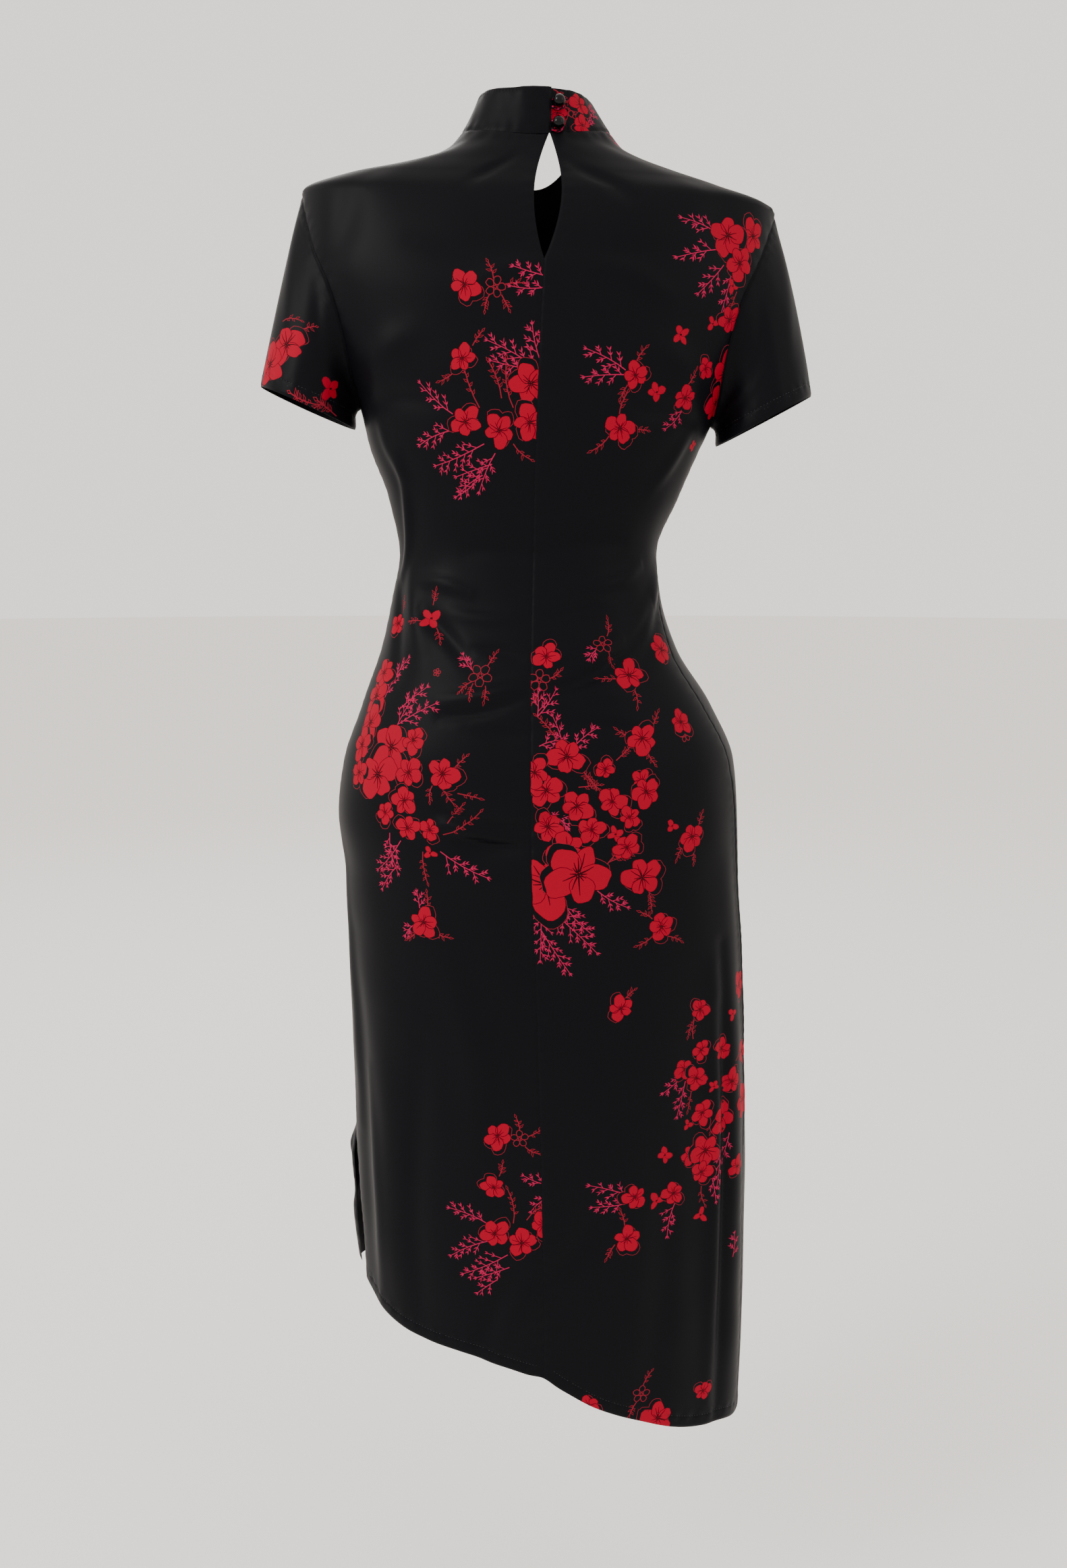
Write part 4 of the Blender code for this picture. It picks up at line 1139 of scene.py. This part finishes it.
def twig(size, rng):
    """A thin-lined twig with small open leaves."""
    bend = rng.uniform(-0.4, 0.4)
    places = bent_stem(size, bend)
    shapes = [("line", stroke(places, 0.0009, 0.0007))]
    count = 4 if size < 0.02 else 7
    for k in range(count + 1):
        s = 1.0 if k == count else 0.30 + 0.62 * k / count
        x, y = size * s, size * bend * s * s
        way = math.atan2(2 * bend * s, 1)
        side = 1 if k % 2 else -1
        heading = way + (0 if k == count else side * math.radians(rng.uniform(32, 58)))
        length = rng.uniform(0.0040, 0.0058)
        shapes.append(("line", leaf(x, y, heading, length, 0.0022)))
        shapes.append(("vein", leaf(
            x + 0.0010 * math.cos(heading), y + 0.0010 * math.sin(heading), heading,
            length - 0.0020, 0.0012,
        )))
    return shapes


DRAW = {
    "flower": flower, "bud": bud, "outline": outline_flower, "sprig": sprig, "twig": twig,
}
RANK = {"sprig": 0, "twig": 0, "outline": 1, "bud": 2, "flower": 3}


def motif_rows(table, make, piece):
    """A piece's rows of a table, each with its piece and kind."""
    for kind, rows in table.get(piece, {}).items():
        for row in rows:
            yield make(piece, *row) if kind == "leaves" else make(piece, kind, *row)


def photo_place(angle, height):
    """Where a place on the plain garment is in the photograph, in pixels."""
    p = plain_garment(angle, height)
    pitch = math.radians(CAMERA_PITCH)
    away = CAMERA_DISTANCE - p[..., 1]
    rise = p[..., 2] - CAMERA_LEVEL
    forward = away * math.cos(pitch) - rise * math.sin(pitch)
    up = rise * math.cos(pitch) + away * math.sin(pitch)
    x = PHOTO_CENTRE[0] - PHOTO_FOCAL * p[..., 0] / forward
    y = PHOTO_CENTRE[1] - PHOTO_FOCAL * up / forward
    return np.stack([x, y], axis=-1)


def seen_places(motifs):
    """Angles and heights of the motifs that the photograph shows."""
    aim = np.array([(m.photo_x, m.photo_y) for m in motifs], float) * PHOTO_STEP
    angle = 90 + (aim[:, 0] - PHOTO_CENTRE[0]) * 0.2
    height = CAMERA_LEVEL - 0.19 - (aim[:, 1] - PHOTO_CENTRE[1]) * 0.00058
    height = np.clip(height, -1.2, 0.02)
    for _ in range(40):
        here = photo_place(angle, height)
        by_angle = (photo_place(angle + 0.2, height) - here) / 0.2
        by_height = (photo_place(angle, height + 0.0005) - here) / 0.0005
        miss = aim - here
        det = by_angle[:, 0] * by_height[:, 1] - by_angle[:, 1] * by_height[:, 0]
        turn = (miss[:, 0] * by_height[:, 1] - miss[:, 1] * by_height[:, 0]) / det
        rise = (by_angle[:, 0] * miss[:, 1] - by_angle[:, 1] * miss[:, 0]) / det
        angle = np.clip(angle + np.clip(turn, -6, 6) * 0.7, 2, 176)
        height = np.clip(height + np.clip(rise, -0.04, 0.04) * 0.7, -1.235, 0.03)
    return angle, height


def printed(piece, surface):
    """The motifs of a piece, lowest first, each a list of (ink, outline in uv)."""
    places = []
    sources = (piece, "back_right") if piece == "front" else (piece,)
    seen = [m for source in sources for m in motif_rows(SEEN_MOTIFS, Seen, source)]
    if seen:
        angle, height = seen_places(seen)
        for m, a, h in zip(seen, angle, height):
            over_seam = a > RUN_OVER_ANGLE and h < UNDERARM
            if m.piece == piece or over_seam:
                places.append((m, to_uv(a, h)))
    for m in motif_rows(HIDDEN_MOTIFS, Hidden, piece):
        if piece.startswith("sleeve"):
            round_share = m.angle / 360
            share = 1 - round_share if piece == "sleeve_left" else round_share
            places.append((m, np.array([share * SLEEVE_ROUND, (1 - m.height) * SLEEVE_DOWN])))
        else:
            places.append((m, to_uv(m.angle, m.height)))
    places.sort(key=lambda place: RANK[place[0].kind])
    if not places:
        return []
    step = 0.0004
    spots = np.array([uv for _, uv in places])
    points, normals = surface(spots)
    along_u = (surface(spots + (step, 0))[0] - surface(spots - (step, 0))[0]) / (2 * step)
    along_v = (surface(spots + (0, step))[0] - surface(spots - (0, step))[0]) / (2 * step)
    drawn = []
    for number, (motif, uv) in enumerate(places):
        right = unit(along_u[number])
        up = np.cross(normals[number], right)
        back = np.linalg.inv([
            [along_u[number] @ right, along_v[number] @ right],
            [along_u[number] @ up, along_v[number] @ up],
        ])
        turn = math.radians(motif.turn)
        spin = np.array([
            [math.cos(turn), -math.sin(turn)],
            [math.sin(turn), math.cos(turn)],
        ])
        rng = random.Random(round(motif[2] * 1000) + round(motif[3] * 7919))
        drawn.append([
            (ink, np.array(outline) @ (back @ spin).T + uv)
            for ink, outline in DRAW[motif.kind](motif.size_mm / 1000, rng)
        ])
    return drawn


def resample(path, step, surface):
    """Points along a uv path that are about one step apart on the surface, its end left out."""
    points, _ = surface(path)
    run = np.concatenate([[0], np.cumsum(np.linalg.norm(np.diff(points, axis=0), axis=-1))])
    count = max(2, int(round(run[-1] / step)))
    at = np.linspace(0, run[-1], count + 1)[:-1]
    return np.stack([np.interp(at, run, path[:, k]) for k in (0, 1)], axis=-1)


def inside(points, outline):
    """Which points are inside a closed outline."""
    x, y = points[:, 0], points[:, 1]
    hit = np.zeros(len(points), bool)
    x0, y0 = outline[:, 0], outline[:, 1]
    x1, y1 = np.roll(x0, -1), np.roll(y0, -1)
    for a, b, c, d in zip(x0, y0, x1, y1):
        if b != d:
            crosses = ((b > y) != (d > y)) & (x < (c - a) * (y - b) / (d - b) + a)
            hit ^= crosses
    return hit


def lattice(outline, step):
    low, high = outline.min(axis=0), outline.max(axis=0)
    rows = np.arange(low[1] + step / 2, high[1], step * 0.866)
    points = []
    for i, v in enumerate(rows):
        start = low[0] + step * (0.25 if i % 2 else 0.75)
        u = np.arange(start, high[0], step)
        points.append(np.stack([u, np.full(len(u), v)], axis=-1))
    points = np.vstack(points)
    return points[inside(points, outline)]


def triangulate(points, outlines):
    """The triangles inside the first outline, with every outline's lines among their edges."""
    corners = [tuple(p) for p in points]
    edges = []
    for outline in outlines:
        base = len(corners)
        corners += [tuple(p) for p in outline]
        edges += [(base + i, base + (i + 1) % len(outline)) for i in range(len(outline))]
    made = delaunay_2d_cdt([Vector(p) for p in corners], edges, [], 0, 1e-6, True)
    uv = np.array([tuple(v) for v in made[0]])
    faces = np.array(made[2])
    kept = inside(uv[faces].mean(axis=1), outlines[0])
    return uv, faces[kept].tolist(), made[3]


def paint(middles, motifs):
    """The ink at each place: that of the last shape over it."""
    numbers = np.zeros(len(middles), int)
    for shapes in motifs:
        every = np.vstack([outline for _, outline in shapes])
        low, high = every.min(axis=0), every.max(axis=0)
        near = np.flatnonzero(((middles > low) & (middles < high)).all(axis=1))
        spots = middles[near]
        for ink, outline in shapes:
            low, high = outline.min(axis=0), outline.max(axis=0)
            rows = np.flatnonzero(((spots > low) & (spots < high)).all(axis=1))
            if len(rows):
                rows = rows[inside(spots[rows], outline)]
                numbers[near[rows]] = INK_ORDER.index(ink)
    return numbers


def edge_loop(faces):
    """The boundary of a patch of triangles, in order."""
    used = {}
    for face in faces:
        for a, b in zip(face, face[1:] + face[:1]):
            used[(a, b)] = True
    after = {a: b for a, b in used if (b, a) not in used}
    start = next(iter(after))
    loop = [start]
    while after[loop[-1]] != start:
        loop.append(after[loop[-1]])
    return loop


def plain_material(name, finish):
    material = bpy.data.materials.new(name)
    material.use_nodes = True
    shader = material.node_tree.nodes["Principled BSDF"]
    shader.inputs["Base Color"].default_value = (*finish.colour, 1.0)
    shader.inputs["Roughness"].default_value = finish.roughness
    shader.inputs["Specular IOR Level"].default_value = finish.specular
    return material


def cloth_material(ink):
    """Fine crepe in one ink: matt-satin, with a slight grain."""
    material = plain_material(f"crepe {ink}", CREPES[ink])
    nodes, links = material.node_tree.nodes, material.node_tree.links
    shader = nodes["Principled BSDF"]
    place = nodes.new("ShaderNodeTexCoord")
    grain = nodes.new("ShaderNodeTexNoise")
    grain.inputs["Scale"].default_value = GRAIN_SCALE
    grain.inputs["Detail"].default_value = 2.0
    bump = nodes.new("ShaderNodeBump")
    bump.inputs["Strength"].default_value = GRAIN_STRENGTH
    bump.inputs["Distance"].default_value = GRAIN_DEPTH
    links.new(place.outputs["Object"], grain.inputs["Vector"])
    links.new(grain.outputs["Fac"], bump.inputs["Height"])
    links.new(bump.outputs["Normal"], shader.inputs["Normal"])
    return material


CLOTH_MATERIALS = [cloth_material(ink) for ink in INK_ORDER]


def edge_shape(kind, away, run):
    """How an edge of that kind shapes the cloth: the lift, its slope inward and along."""
    dip = SEAM_DIP * np.exp(-((away / SEAM_DIP_WIDTH) ** 2))
    lift = -dip
    inward = dip * 2 * away / SEAM_DIP_WIDTH**2
    if kind == "hem":
        groove = GROOVE_DEPTH * np.exp(-(((away - HEM_DEPTH) / GROOVE_WIDTH) ** 2))
        lift = lift - groove
        inward = inward + groove * 2 * (away - HEM_DEPTH) / GROOVE_WIDTH**2
        band = BAND_LIFT / (1 + np.exp((away - HEM_DEPTH) / BAND_BLUR))
        lift = lift + band
        inward = inward - band * (1 - band / BAND_LIFT) / BAND_BLUR
    pucker = PUCKERS[kind]
    wave = 2 * np.pi * (run / PUCKER_PITCH + 0.35 * np.sin(run * 61))
    bell = pucker.height * np.exp(-(((away - pucker.middle) / pucker.reach) ** 2))
    lift = lift + bell * np.sin(wave)
    inward = inward - bell * 2 * (away - pucker.middle) / pucker.reach**2 * np.sin(wave)
    along = bell * np.cos(wave) * 2 * np.pi / PUCKER_PITCH
    return lift, inward, along


def way_inward(path, surface, closed):
    """The uv step that leads one metre inward over the surface, at each point of a path."""
    here, normals = surface(path)
    by_u = (surface(path + (UV_NUDGE, 0))[0] - here) / UV_NUDGE
    by_v = (surface(path + (0, UV_NUDGE))[0] - here) / UV_NUDGE
    if closed:
        ahead = np.roll(here, -1, axis=0) - np.roll(here, 1, axis=0)
    else:
        ahead = np.gradient(here, axis=0)
    inward = unit(np.cross(normals, ahead))
    guu, guv, gvv = (by_u * by_u).sum(-1), (by_u * by_v).sum(-1), (by_v * by_v).sum(-1)
    pu, pv = (by_u * inward).sum(-1), (by_v * inward).sum(-1)
    det = guu * gvv - guv * guv
    return np.stack([(gvv * pu - guv * pv) / det, (guu * pv - guv * pu) / det], axis=-1)


def build_cloth(name, sides, surface, step, lines=()):
    """A piece of cloth: printed outside, plain inside and closed round its edges."""
    coarse = np.vstack([resample(path, EDGE_STEP, surface) for path, _ in sides])
    fine = [resample(path, RIM_STEP, surface) for path, _ in sides]
    kinds = np.concatenate([np.full(len(f), k == "hem") for f, (_, k) in zip(fine, sides)])
    fine = np.vstack(fine)
    rim, rim_normals = surface(fine)
    forward = unit(np.roll(rim, -1, axis=0) - np.roll(rim, 1, axis=0))
    runs = np.cumsum(np.linalg.norm(rim - np.roll(rim, 1, axis=0), axis=-1))
    tree = kdtree.KDTree(len(rim))
    for i, p in enumerate(rim):
        tree.insert(p, i)
    tree.balance()

    # Free points: rows close along the edges, and a lattice over the rest
    offsets = EDGE_OFFSETS + HEM_ROWS
    way = way_inward(coarse, surface, closed=True)
    edge_rows = np.vstack([coarse + way * offset for offset in offsets])
    field = lattice(coarse, step)
    spread, _ = surface(field)
    clear = np.array([tree.find(p)[2] > EDGE_OFFSETS[-1] + step * 0.35 for p in spread])
    spread, _ = surface(edge_rows)
    gaps = np.repeat(offsets, len(coarse))
    near = np.array([tree.find(p)[2] for p in spread])
    kept = (near > gaps * 0.8) & inside(edge_rows, coarse)
    free = np.vstack([field[clear], edge_rows[kept]])

    motifs = printed(name, surface)
    outlines = [coarse, *lines] + [outline for shapes in motifs for _, outline in shapes]
    uv, faces, _ = triangulate(free, outlines)
    numbers = paint(uv[np.array(faces)].mean(axis=1), motifs)
    loop = edge_loop(faces)
    used = sorted({v for face in faces for v in face})
    index = {v: i for i, v in enumerate(used)}
    uv = uv[used]
    faces = [[index[v] for v in face] for face in faces]
    loop = [index[v] for v in loop]

    points, normals = surface(uv)
    found = [tree.find(p) for p in points]
    near = np.array([f[1] for f in found])
    away = np.linalg.norm(points - rim[near], axis=-1)
    lift = np.zeros(len(points))
    tilt = np.zeros_like(points)
    inward = unit(np.cross(rim_normals, forward))[near]
    for hem in (True, False):
        rows = kinds[near] == hem
        shape = edge_shape("hem" if hem else "seam", away[rows], runs[near[rows]])
        lift[rows] = shape[0]
        tilt[rows] = (
            inward[rows] * shape[1][:, None] + forward[near[rows]] * shape[2][:, None]
        )
    outer = points + normals * (WALL / 2 + lift)[:, None]
    outer_normals = unit(normals - tilt)

    ring = uv[loop]
    spare = lattice(ring, step * INSIDE_COARSER)
    spread, _ = surface(spare)
    spare = spare[np.array([tree.find(p)[2] > step * 0.8 for p in spread])]
    inner_uv, inner_faces, origin = triangulate(spare, [ring])
    where = {}
    for i, sources in enumerate(origin):
        for s in sources:
            where[s] = i
    base = len(outer)
    inner_points, inner_normals = surface(inner_uv)
    inner = inner_points + inner_normals * (WALL / 2 - CLOTH)
    rim_faces = []
    count = len(spare)
    for j, a in enumerate(loop):
        b = loop[(j + 1) % len(loop)]
        a_in = base + where[count + j]
        b_in = base + where[count + (j + 1) % len(loop)]
        rim_faces.append([b, a, a_in, b_in] if a_in != b_in else [b, a, a_in])
    turned = [[base + v for v in face[::-1]] for face in inner_faces]

    everything = np.vstack([outer, inner])
    numbers = numbers.tolist() + [0] * (len(turned) + len(rim_faces))
    every_face = faces + turned + rim_faces
    made = plain_mesh(f"{name}_cloth", everything, every_face, CLOTH_MATERIALS, numbers)
    every_normal = np.vstack([outer_normals, -inner_normals])
    loop_normals = []
    for face in faces + turned:
        loop_normals += [every_normal[v] for v in face]
    for face in rim_faces:
        flat = np.cross(
            everything[face[2]] - everything[face[0]],
            everything[face[-1]] - everything[face[1]],
        )
        loop_normals += [unit(flat)] * len(face)
    made.data.normals_split_custom_set([tuple(n) for n in loop_normals])
    return made


def plain_mesh(name, points, faces, materials, numbers=None):
    mesh = bpy.data.meshes.new(name)
    mesh.from_pydata([tuple(p) for p in points], [], faces)
    for material in materials:
        mesh.materials.append(material)
    if numbers:
        mesh.polygons.foreach_set("material_index", numbers)
    mesh.polygons.foreach_set("use_smooth", [True] * len(mesh.polygons))
    made = bpy.data.objects.new(name, mesh)
    bpy.context.scene.collection.objects.link(made)
    return made


def stitch_row(name, path, surface, material):
    """A row of small stitches along a path in uv, half sunk in the cloth."""
    points, normals = surface(path)
    run = np.concatenate([[0], np.cumsum(np.linalg.norm(np.diff(points, axis=0), axis=-1))])
    starts = np.arange(STITCH_MARGIN, run[-1] - STITCH_MARGIN, STITCH_PITCH)
    corners, faces = [], []
    for begin in starts:
        spots = []
        for at in (begin, begin + STITCH / 2, begin + STITCH):
            point = np.array([np.interp(at, run, points[:, k]) for k in range(3)])
            normal = unit(np.array([np.interp(at, run, normals[:, k]) for k in range(3)]))
            spots.append((point, normal))
        way = unit(spots[2][0] - spots[0][0])
        normal = spots[1][1]
        side = np.cross(normal, way)
        lift = WALL / 2 - STITCH_SINK
        base = len(corners)
        corners += [spots[end][0] + normal * (lift - STITCH_END_SINK) for end in (0, 2)]
        middle = spots[1][0] + normal * lift
        for turn in range(6):
            a = math.radians(60 * turn)
            across = side * math.cos(a) + normal * math.sin(a)
            corners.append(middle + STITCH_RADIUS * across)
        for turn in range(6):
            here, there = base + 2 + turn, base + 2 + (turn + 1) % 6
            faces += [(base, there, here), (base + 1, here, there)]
    return plain_mesh(name, corners, faces, [material])


def collar_spot(x, height):
    """A place on the collar under the lap: its point, outward normal and the way round."""
    angle = angle_at_x(x, height)
    point, normal = surface_frame(garment, angle, height)
    ahead = garment(angle + 0.2, height) - garment(angle - 0.2, height)
    return point, normal, unit(ahead)


def ball_button(name, height, material):
    """A polished ball on a short shank."""
    point, normal, across = collar_spot(BUTTON_X, height)
    up = np.cross(normal, across)
    foot = WALL / 2 + SEAM_GAP
    centre = foot + SHANK_LENGTH + BALL_RADIUS
    first = math.asin(SHANK_RADIUS / BALL_RADIUS)
    profile = [(SHANK_RADIUS, foot)]
    for step in range(BALL_STEPS + 1):
        bend = first + (math.pi - first) * step / BALL_STEPS
        profile.append((BALL_RADIUS * math.sin(bend), centre - BALL_RADIUS * math.cos(bend)))
    corners, faces = [point + normal * foot], []
    for radius, height_off in profile[:-1]:
        for turn in range(BALL_SIDES):
            a = 2 * math.pi * turn / BALL_SIDES
            side = across * math.cos(a) + up * math.sin(a)
            corners.append(point + side * radius + normal * height_off)
    corners.append(point + normal * profile[-1][1])
    for turn in range(BALL_SIDES):
        following = (turn + 1) % BALL_SIDES
        faces.append((0, 1 + following, 1 + turn))
        for ring in range(len(profile) - 2):
            a, b = 1 + ring * BALL_SIDES, 1 + (ring + 1) * BALL_SIDES
            faces.append((a + turn, a + following, b + following, b + turn))
        last = 1 + (len(profile) - 2) * BALL_SIDES
        faces.append((last + turn, last + following, len(corners) - 1))
    return plain_mesh(name, corners, faces, [material])


def button_loop(name, height, seed):
    """A turned cord of the printed cloth, from under the lap round the ball and back."""
    reach = COLLAR_EDGE_X - BUTTON_X - SEAM_GAP
    opened = math.asin(LOOP_LEG_RISE / LOOP_RADIUS)
    route = [(reach, LOOP_LEG_RISE)]
    for step in range(LOOP_STEPS + 1):
        bend = opened + (2 * math.pi - 2 * opened) * step / LOOP_STEPS
        route.append((LOOP_RADIUS * math.cos(bend), LOOP_RADIUS * math.sin(bend)))
    route.append((reach, -LOOP_LEG_RISE))
    per_height = float(metres_per_height(angle_at_x(BUTTON_X, height), height))
    spine, lifts = [], []
    for along, up in route:
        point, normal, _ = collar_spot(BUTTON_X + along, height + up / per_height)
        spine.append(point + normal * (WALL / 2 + SEAM_GAP + CORD_RADIUS * 1.04))
        lifts.append(normal)
    spine = np.array(spine)
    forward = unit(np.gradient(spine, axis=0))
    corners, faces, inks = [], [], []
    rng = random.Random(seed)
    spots = [rng.random() for _ in range(len(route))]
    for i, (point, way, normal) in enumerate(zip(spine, forward, lifts)):
        side = unit(np.cross(normal, way))
        outward = np.cross(way, side)
        for turn in range(CORD_SIDES):
            a = 2 * math.pi * turn / CORD_SIDES
            ridge = 1 + 0.10 * math.cos(a * 3 + i * 0.5)
            away = side * math.cos(a) + outward * math.sin(a)
            corners.append(point + CORD_RADIUS * ridge * away)
        if i + 1 < len(route):
            for turn in range(CORD_SIDES):
                following = (turn + 1) % CORD_SIDES
                a, b = i * CORD_SIDES, (i + 1) * CORD_SIDES
                faces.append((a + turn, a + following, b + following, b + turn))
                cloud = math.sin(i * 0.55 + turn * 0.9 + seed) + 0.6 * math.sin(i * 1.3 + seed * 2)
                if cloud > 0.45:
                    inks.append(INK_ORDER.index("red" if spots[i // 6] > 0.4 else "rose"))
                else:
                    inks.append(INK_ORDER.index("ground" if cloud < 0.1 else "plum"))
    faces.append(tuple(range(CORD_SIDES - 1, -1, -1)))
    faces.append(tuple(range(len(corners) - CORD_SIDES, len(corners))))
    inks += [0, 0]
    return plain_mesh(name, corners, faces, CLOTH_MATERIALS, inks)


def hem_path(sides, surface, depth):
    """The hem's path moved inward by a depth."""
    path = resample(sides[0][0], STITCH_PATH_STEP, surface)
    return path + way_inward(path, surface, closed=False) * depth


# The cut of what shows of each piece, in metres and square metres, measured along the cloth
Cut = namedtuple("Cut", "width length area")


HANGS_FROM = {
    "back_left": ["collar_cloth"],
    "back_right": ["collar_cloth"],
    "front": ["collar_cloth"],
    "sleeve_left": ["back_left_cloth", "front_cloth"],
    "sleeve_right": ["back_right_cloth", "front_cloth"],
    "collar": [],
}


def body_panel(first_edge, last_edge):
    kinds = ("hem", "seam", "seam", "seam")
    return panel_outline(first_edge, last_edge, -SEAM_OVERLAP, SEAM_OVERLAP, kinds), body_map


def collar_panel():
    outline = panel_outline(
        lambda h: collar_edge(h)[0], lambda h: collar_edge(h)[1], 0, 0, ("seam",) * 4,
        COLLAR_TOP, collar_foot,
    )
    return outline, collar_map


def make_dress():
    step = MESH_STEP * 1.0
    panels = {
        "back_left": body_panel(lambda h: left_side(h, "back"), lambda h: centre_back(h, 1)),
        "back_right": body_panel(lambda h: centre_back(h, -1), lambda h: right_side(h, "back")),
        "front": body_panel(
            lambda h: right_side(h, "front"), lambda h: 360 + left_side(h, "front")
        ),
        "collar": collar_panel(),
        "sleeve_left": (sleeve_outline(), sleeve_map("sleeve_left")),
        "sleeve_right": (sleeve_outline(), sleeve_map("sleeve_right")),
    }
    thread = plain_material("thread", THREAD)
    cloths = {}
    for name, (sides, surface) in panels.items():
        if name == "collar":
            finer = step * COLLAR_FINER
            cloths[name] = build_cloth(name, sides, surface, finer, stand_lines())
        else:
            cloths[name] = build_cloth(name, sides, surface, step)
    for name, (sides, surface) in panels.items():
        made = cloths[name]
        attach(made, "root")
        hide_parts(name)
        if name != "collar":
            depths = (HEM_DEPTH,)
            if "sleeve" in name:
                depths += (HEM_DEPTH - CUFF_ROW_GAP,)
            for number, depth in enumerate(depths):
                row = stitch_row(
                    f"{name}_stitches_{number + 1}", hem_path(sides, surface, depth), surface,
                    thread,
                )
                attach(row, "root")
        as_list(HANGS_FROM[name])
    polish = plain_material("polished black", POLISH)
    for number, (level, height) in enumerate(BUTTON_HEIGHTS.items()):
        ball = ball_button(f"ball_{level}", height, polish)
        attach(ball, "root")
        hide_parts(f"button_{level}")
        cord = button_loop(f"cord_{level}", height, 3 + number * 4)
        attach(cord, "root")
        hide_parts(f"loop_{level}")


def area_light(row):
    data = bpy.data.lights.new(row.name, "AREA")
    data.shape = "RECTANGLE"
    data.size, data.size_y = row.size
    data.energy = row.power
    data.color = row.tint
    light = bpy.data.objects.new(row.name, data)
    light.location = row.place
    way = Vector(row.aim) - Vector(row.place)
    light.rotation_euler = way.to_track_quat("-Z", "Y").to_euler()
    bpy.context.scene.collection.objects.link(light)


def studio():
    """Floor, soft lights, pale surroundings and the photograph's camera."""
    turns = [2 * math.pi * turn / FLOOR_SIDES for turn in range(FLOOR_SIDES)]
    rim = [(FLOOR_RADIUS * math.cos(a), FLOOR_RADIUS * math.sin(a), FLOOR_LEVEL) for a in turns]
    floor_mesh = bpy.data.meshes.new("floor")
    floor_mesh.from_pydata(rim, [], [tuple(range(FLOOR_SIDES))])
    floor_mesh.materials.append(plain_material("pale floor", PALE_FLOOR))
    floor = bpy.data.objects.new("floor", floor_mesh)
    bpy.context.scene.collection.objects.link(floor)

    world = bpy.data.worlds.new("studio")
    world.use_nodes = True
    sky = world.node_tree.nodes["Background"]
    sky.inputs["Color"].default_value = (*SKY_COLOUR, 1.0)
    sky.inputs["Strength"].default_value = SKY_STRENGTH
    bpy.context.scene.world = world

    for row in LIGHTS:
        area_light(row)

    lens = bpy.data.cameras.new("camera")
    lens.sensor_width = SENSOR_WIDTH
    lens.lens = SENSOR_WIDTH * PHOTO_FOCAL / PHOTO_HEIGHT
    camera = bpy.data.objects.new("camera", lens)
    camera.location = (0.0, CAMERA_DISTANCE, CAMERA_LEVEL)
    camera.rotation_euler = (math.radians(90 - CAMERA_PITCH), 0, math.radians(180))
    bpy.context.scene.collection.objects.link(camera)
    bpy.context.scene.camera = camera


def write_size():
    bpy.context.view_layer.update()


write_size()
make_dress()
studio()
write_size()
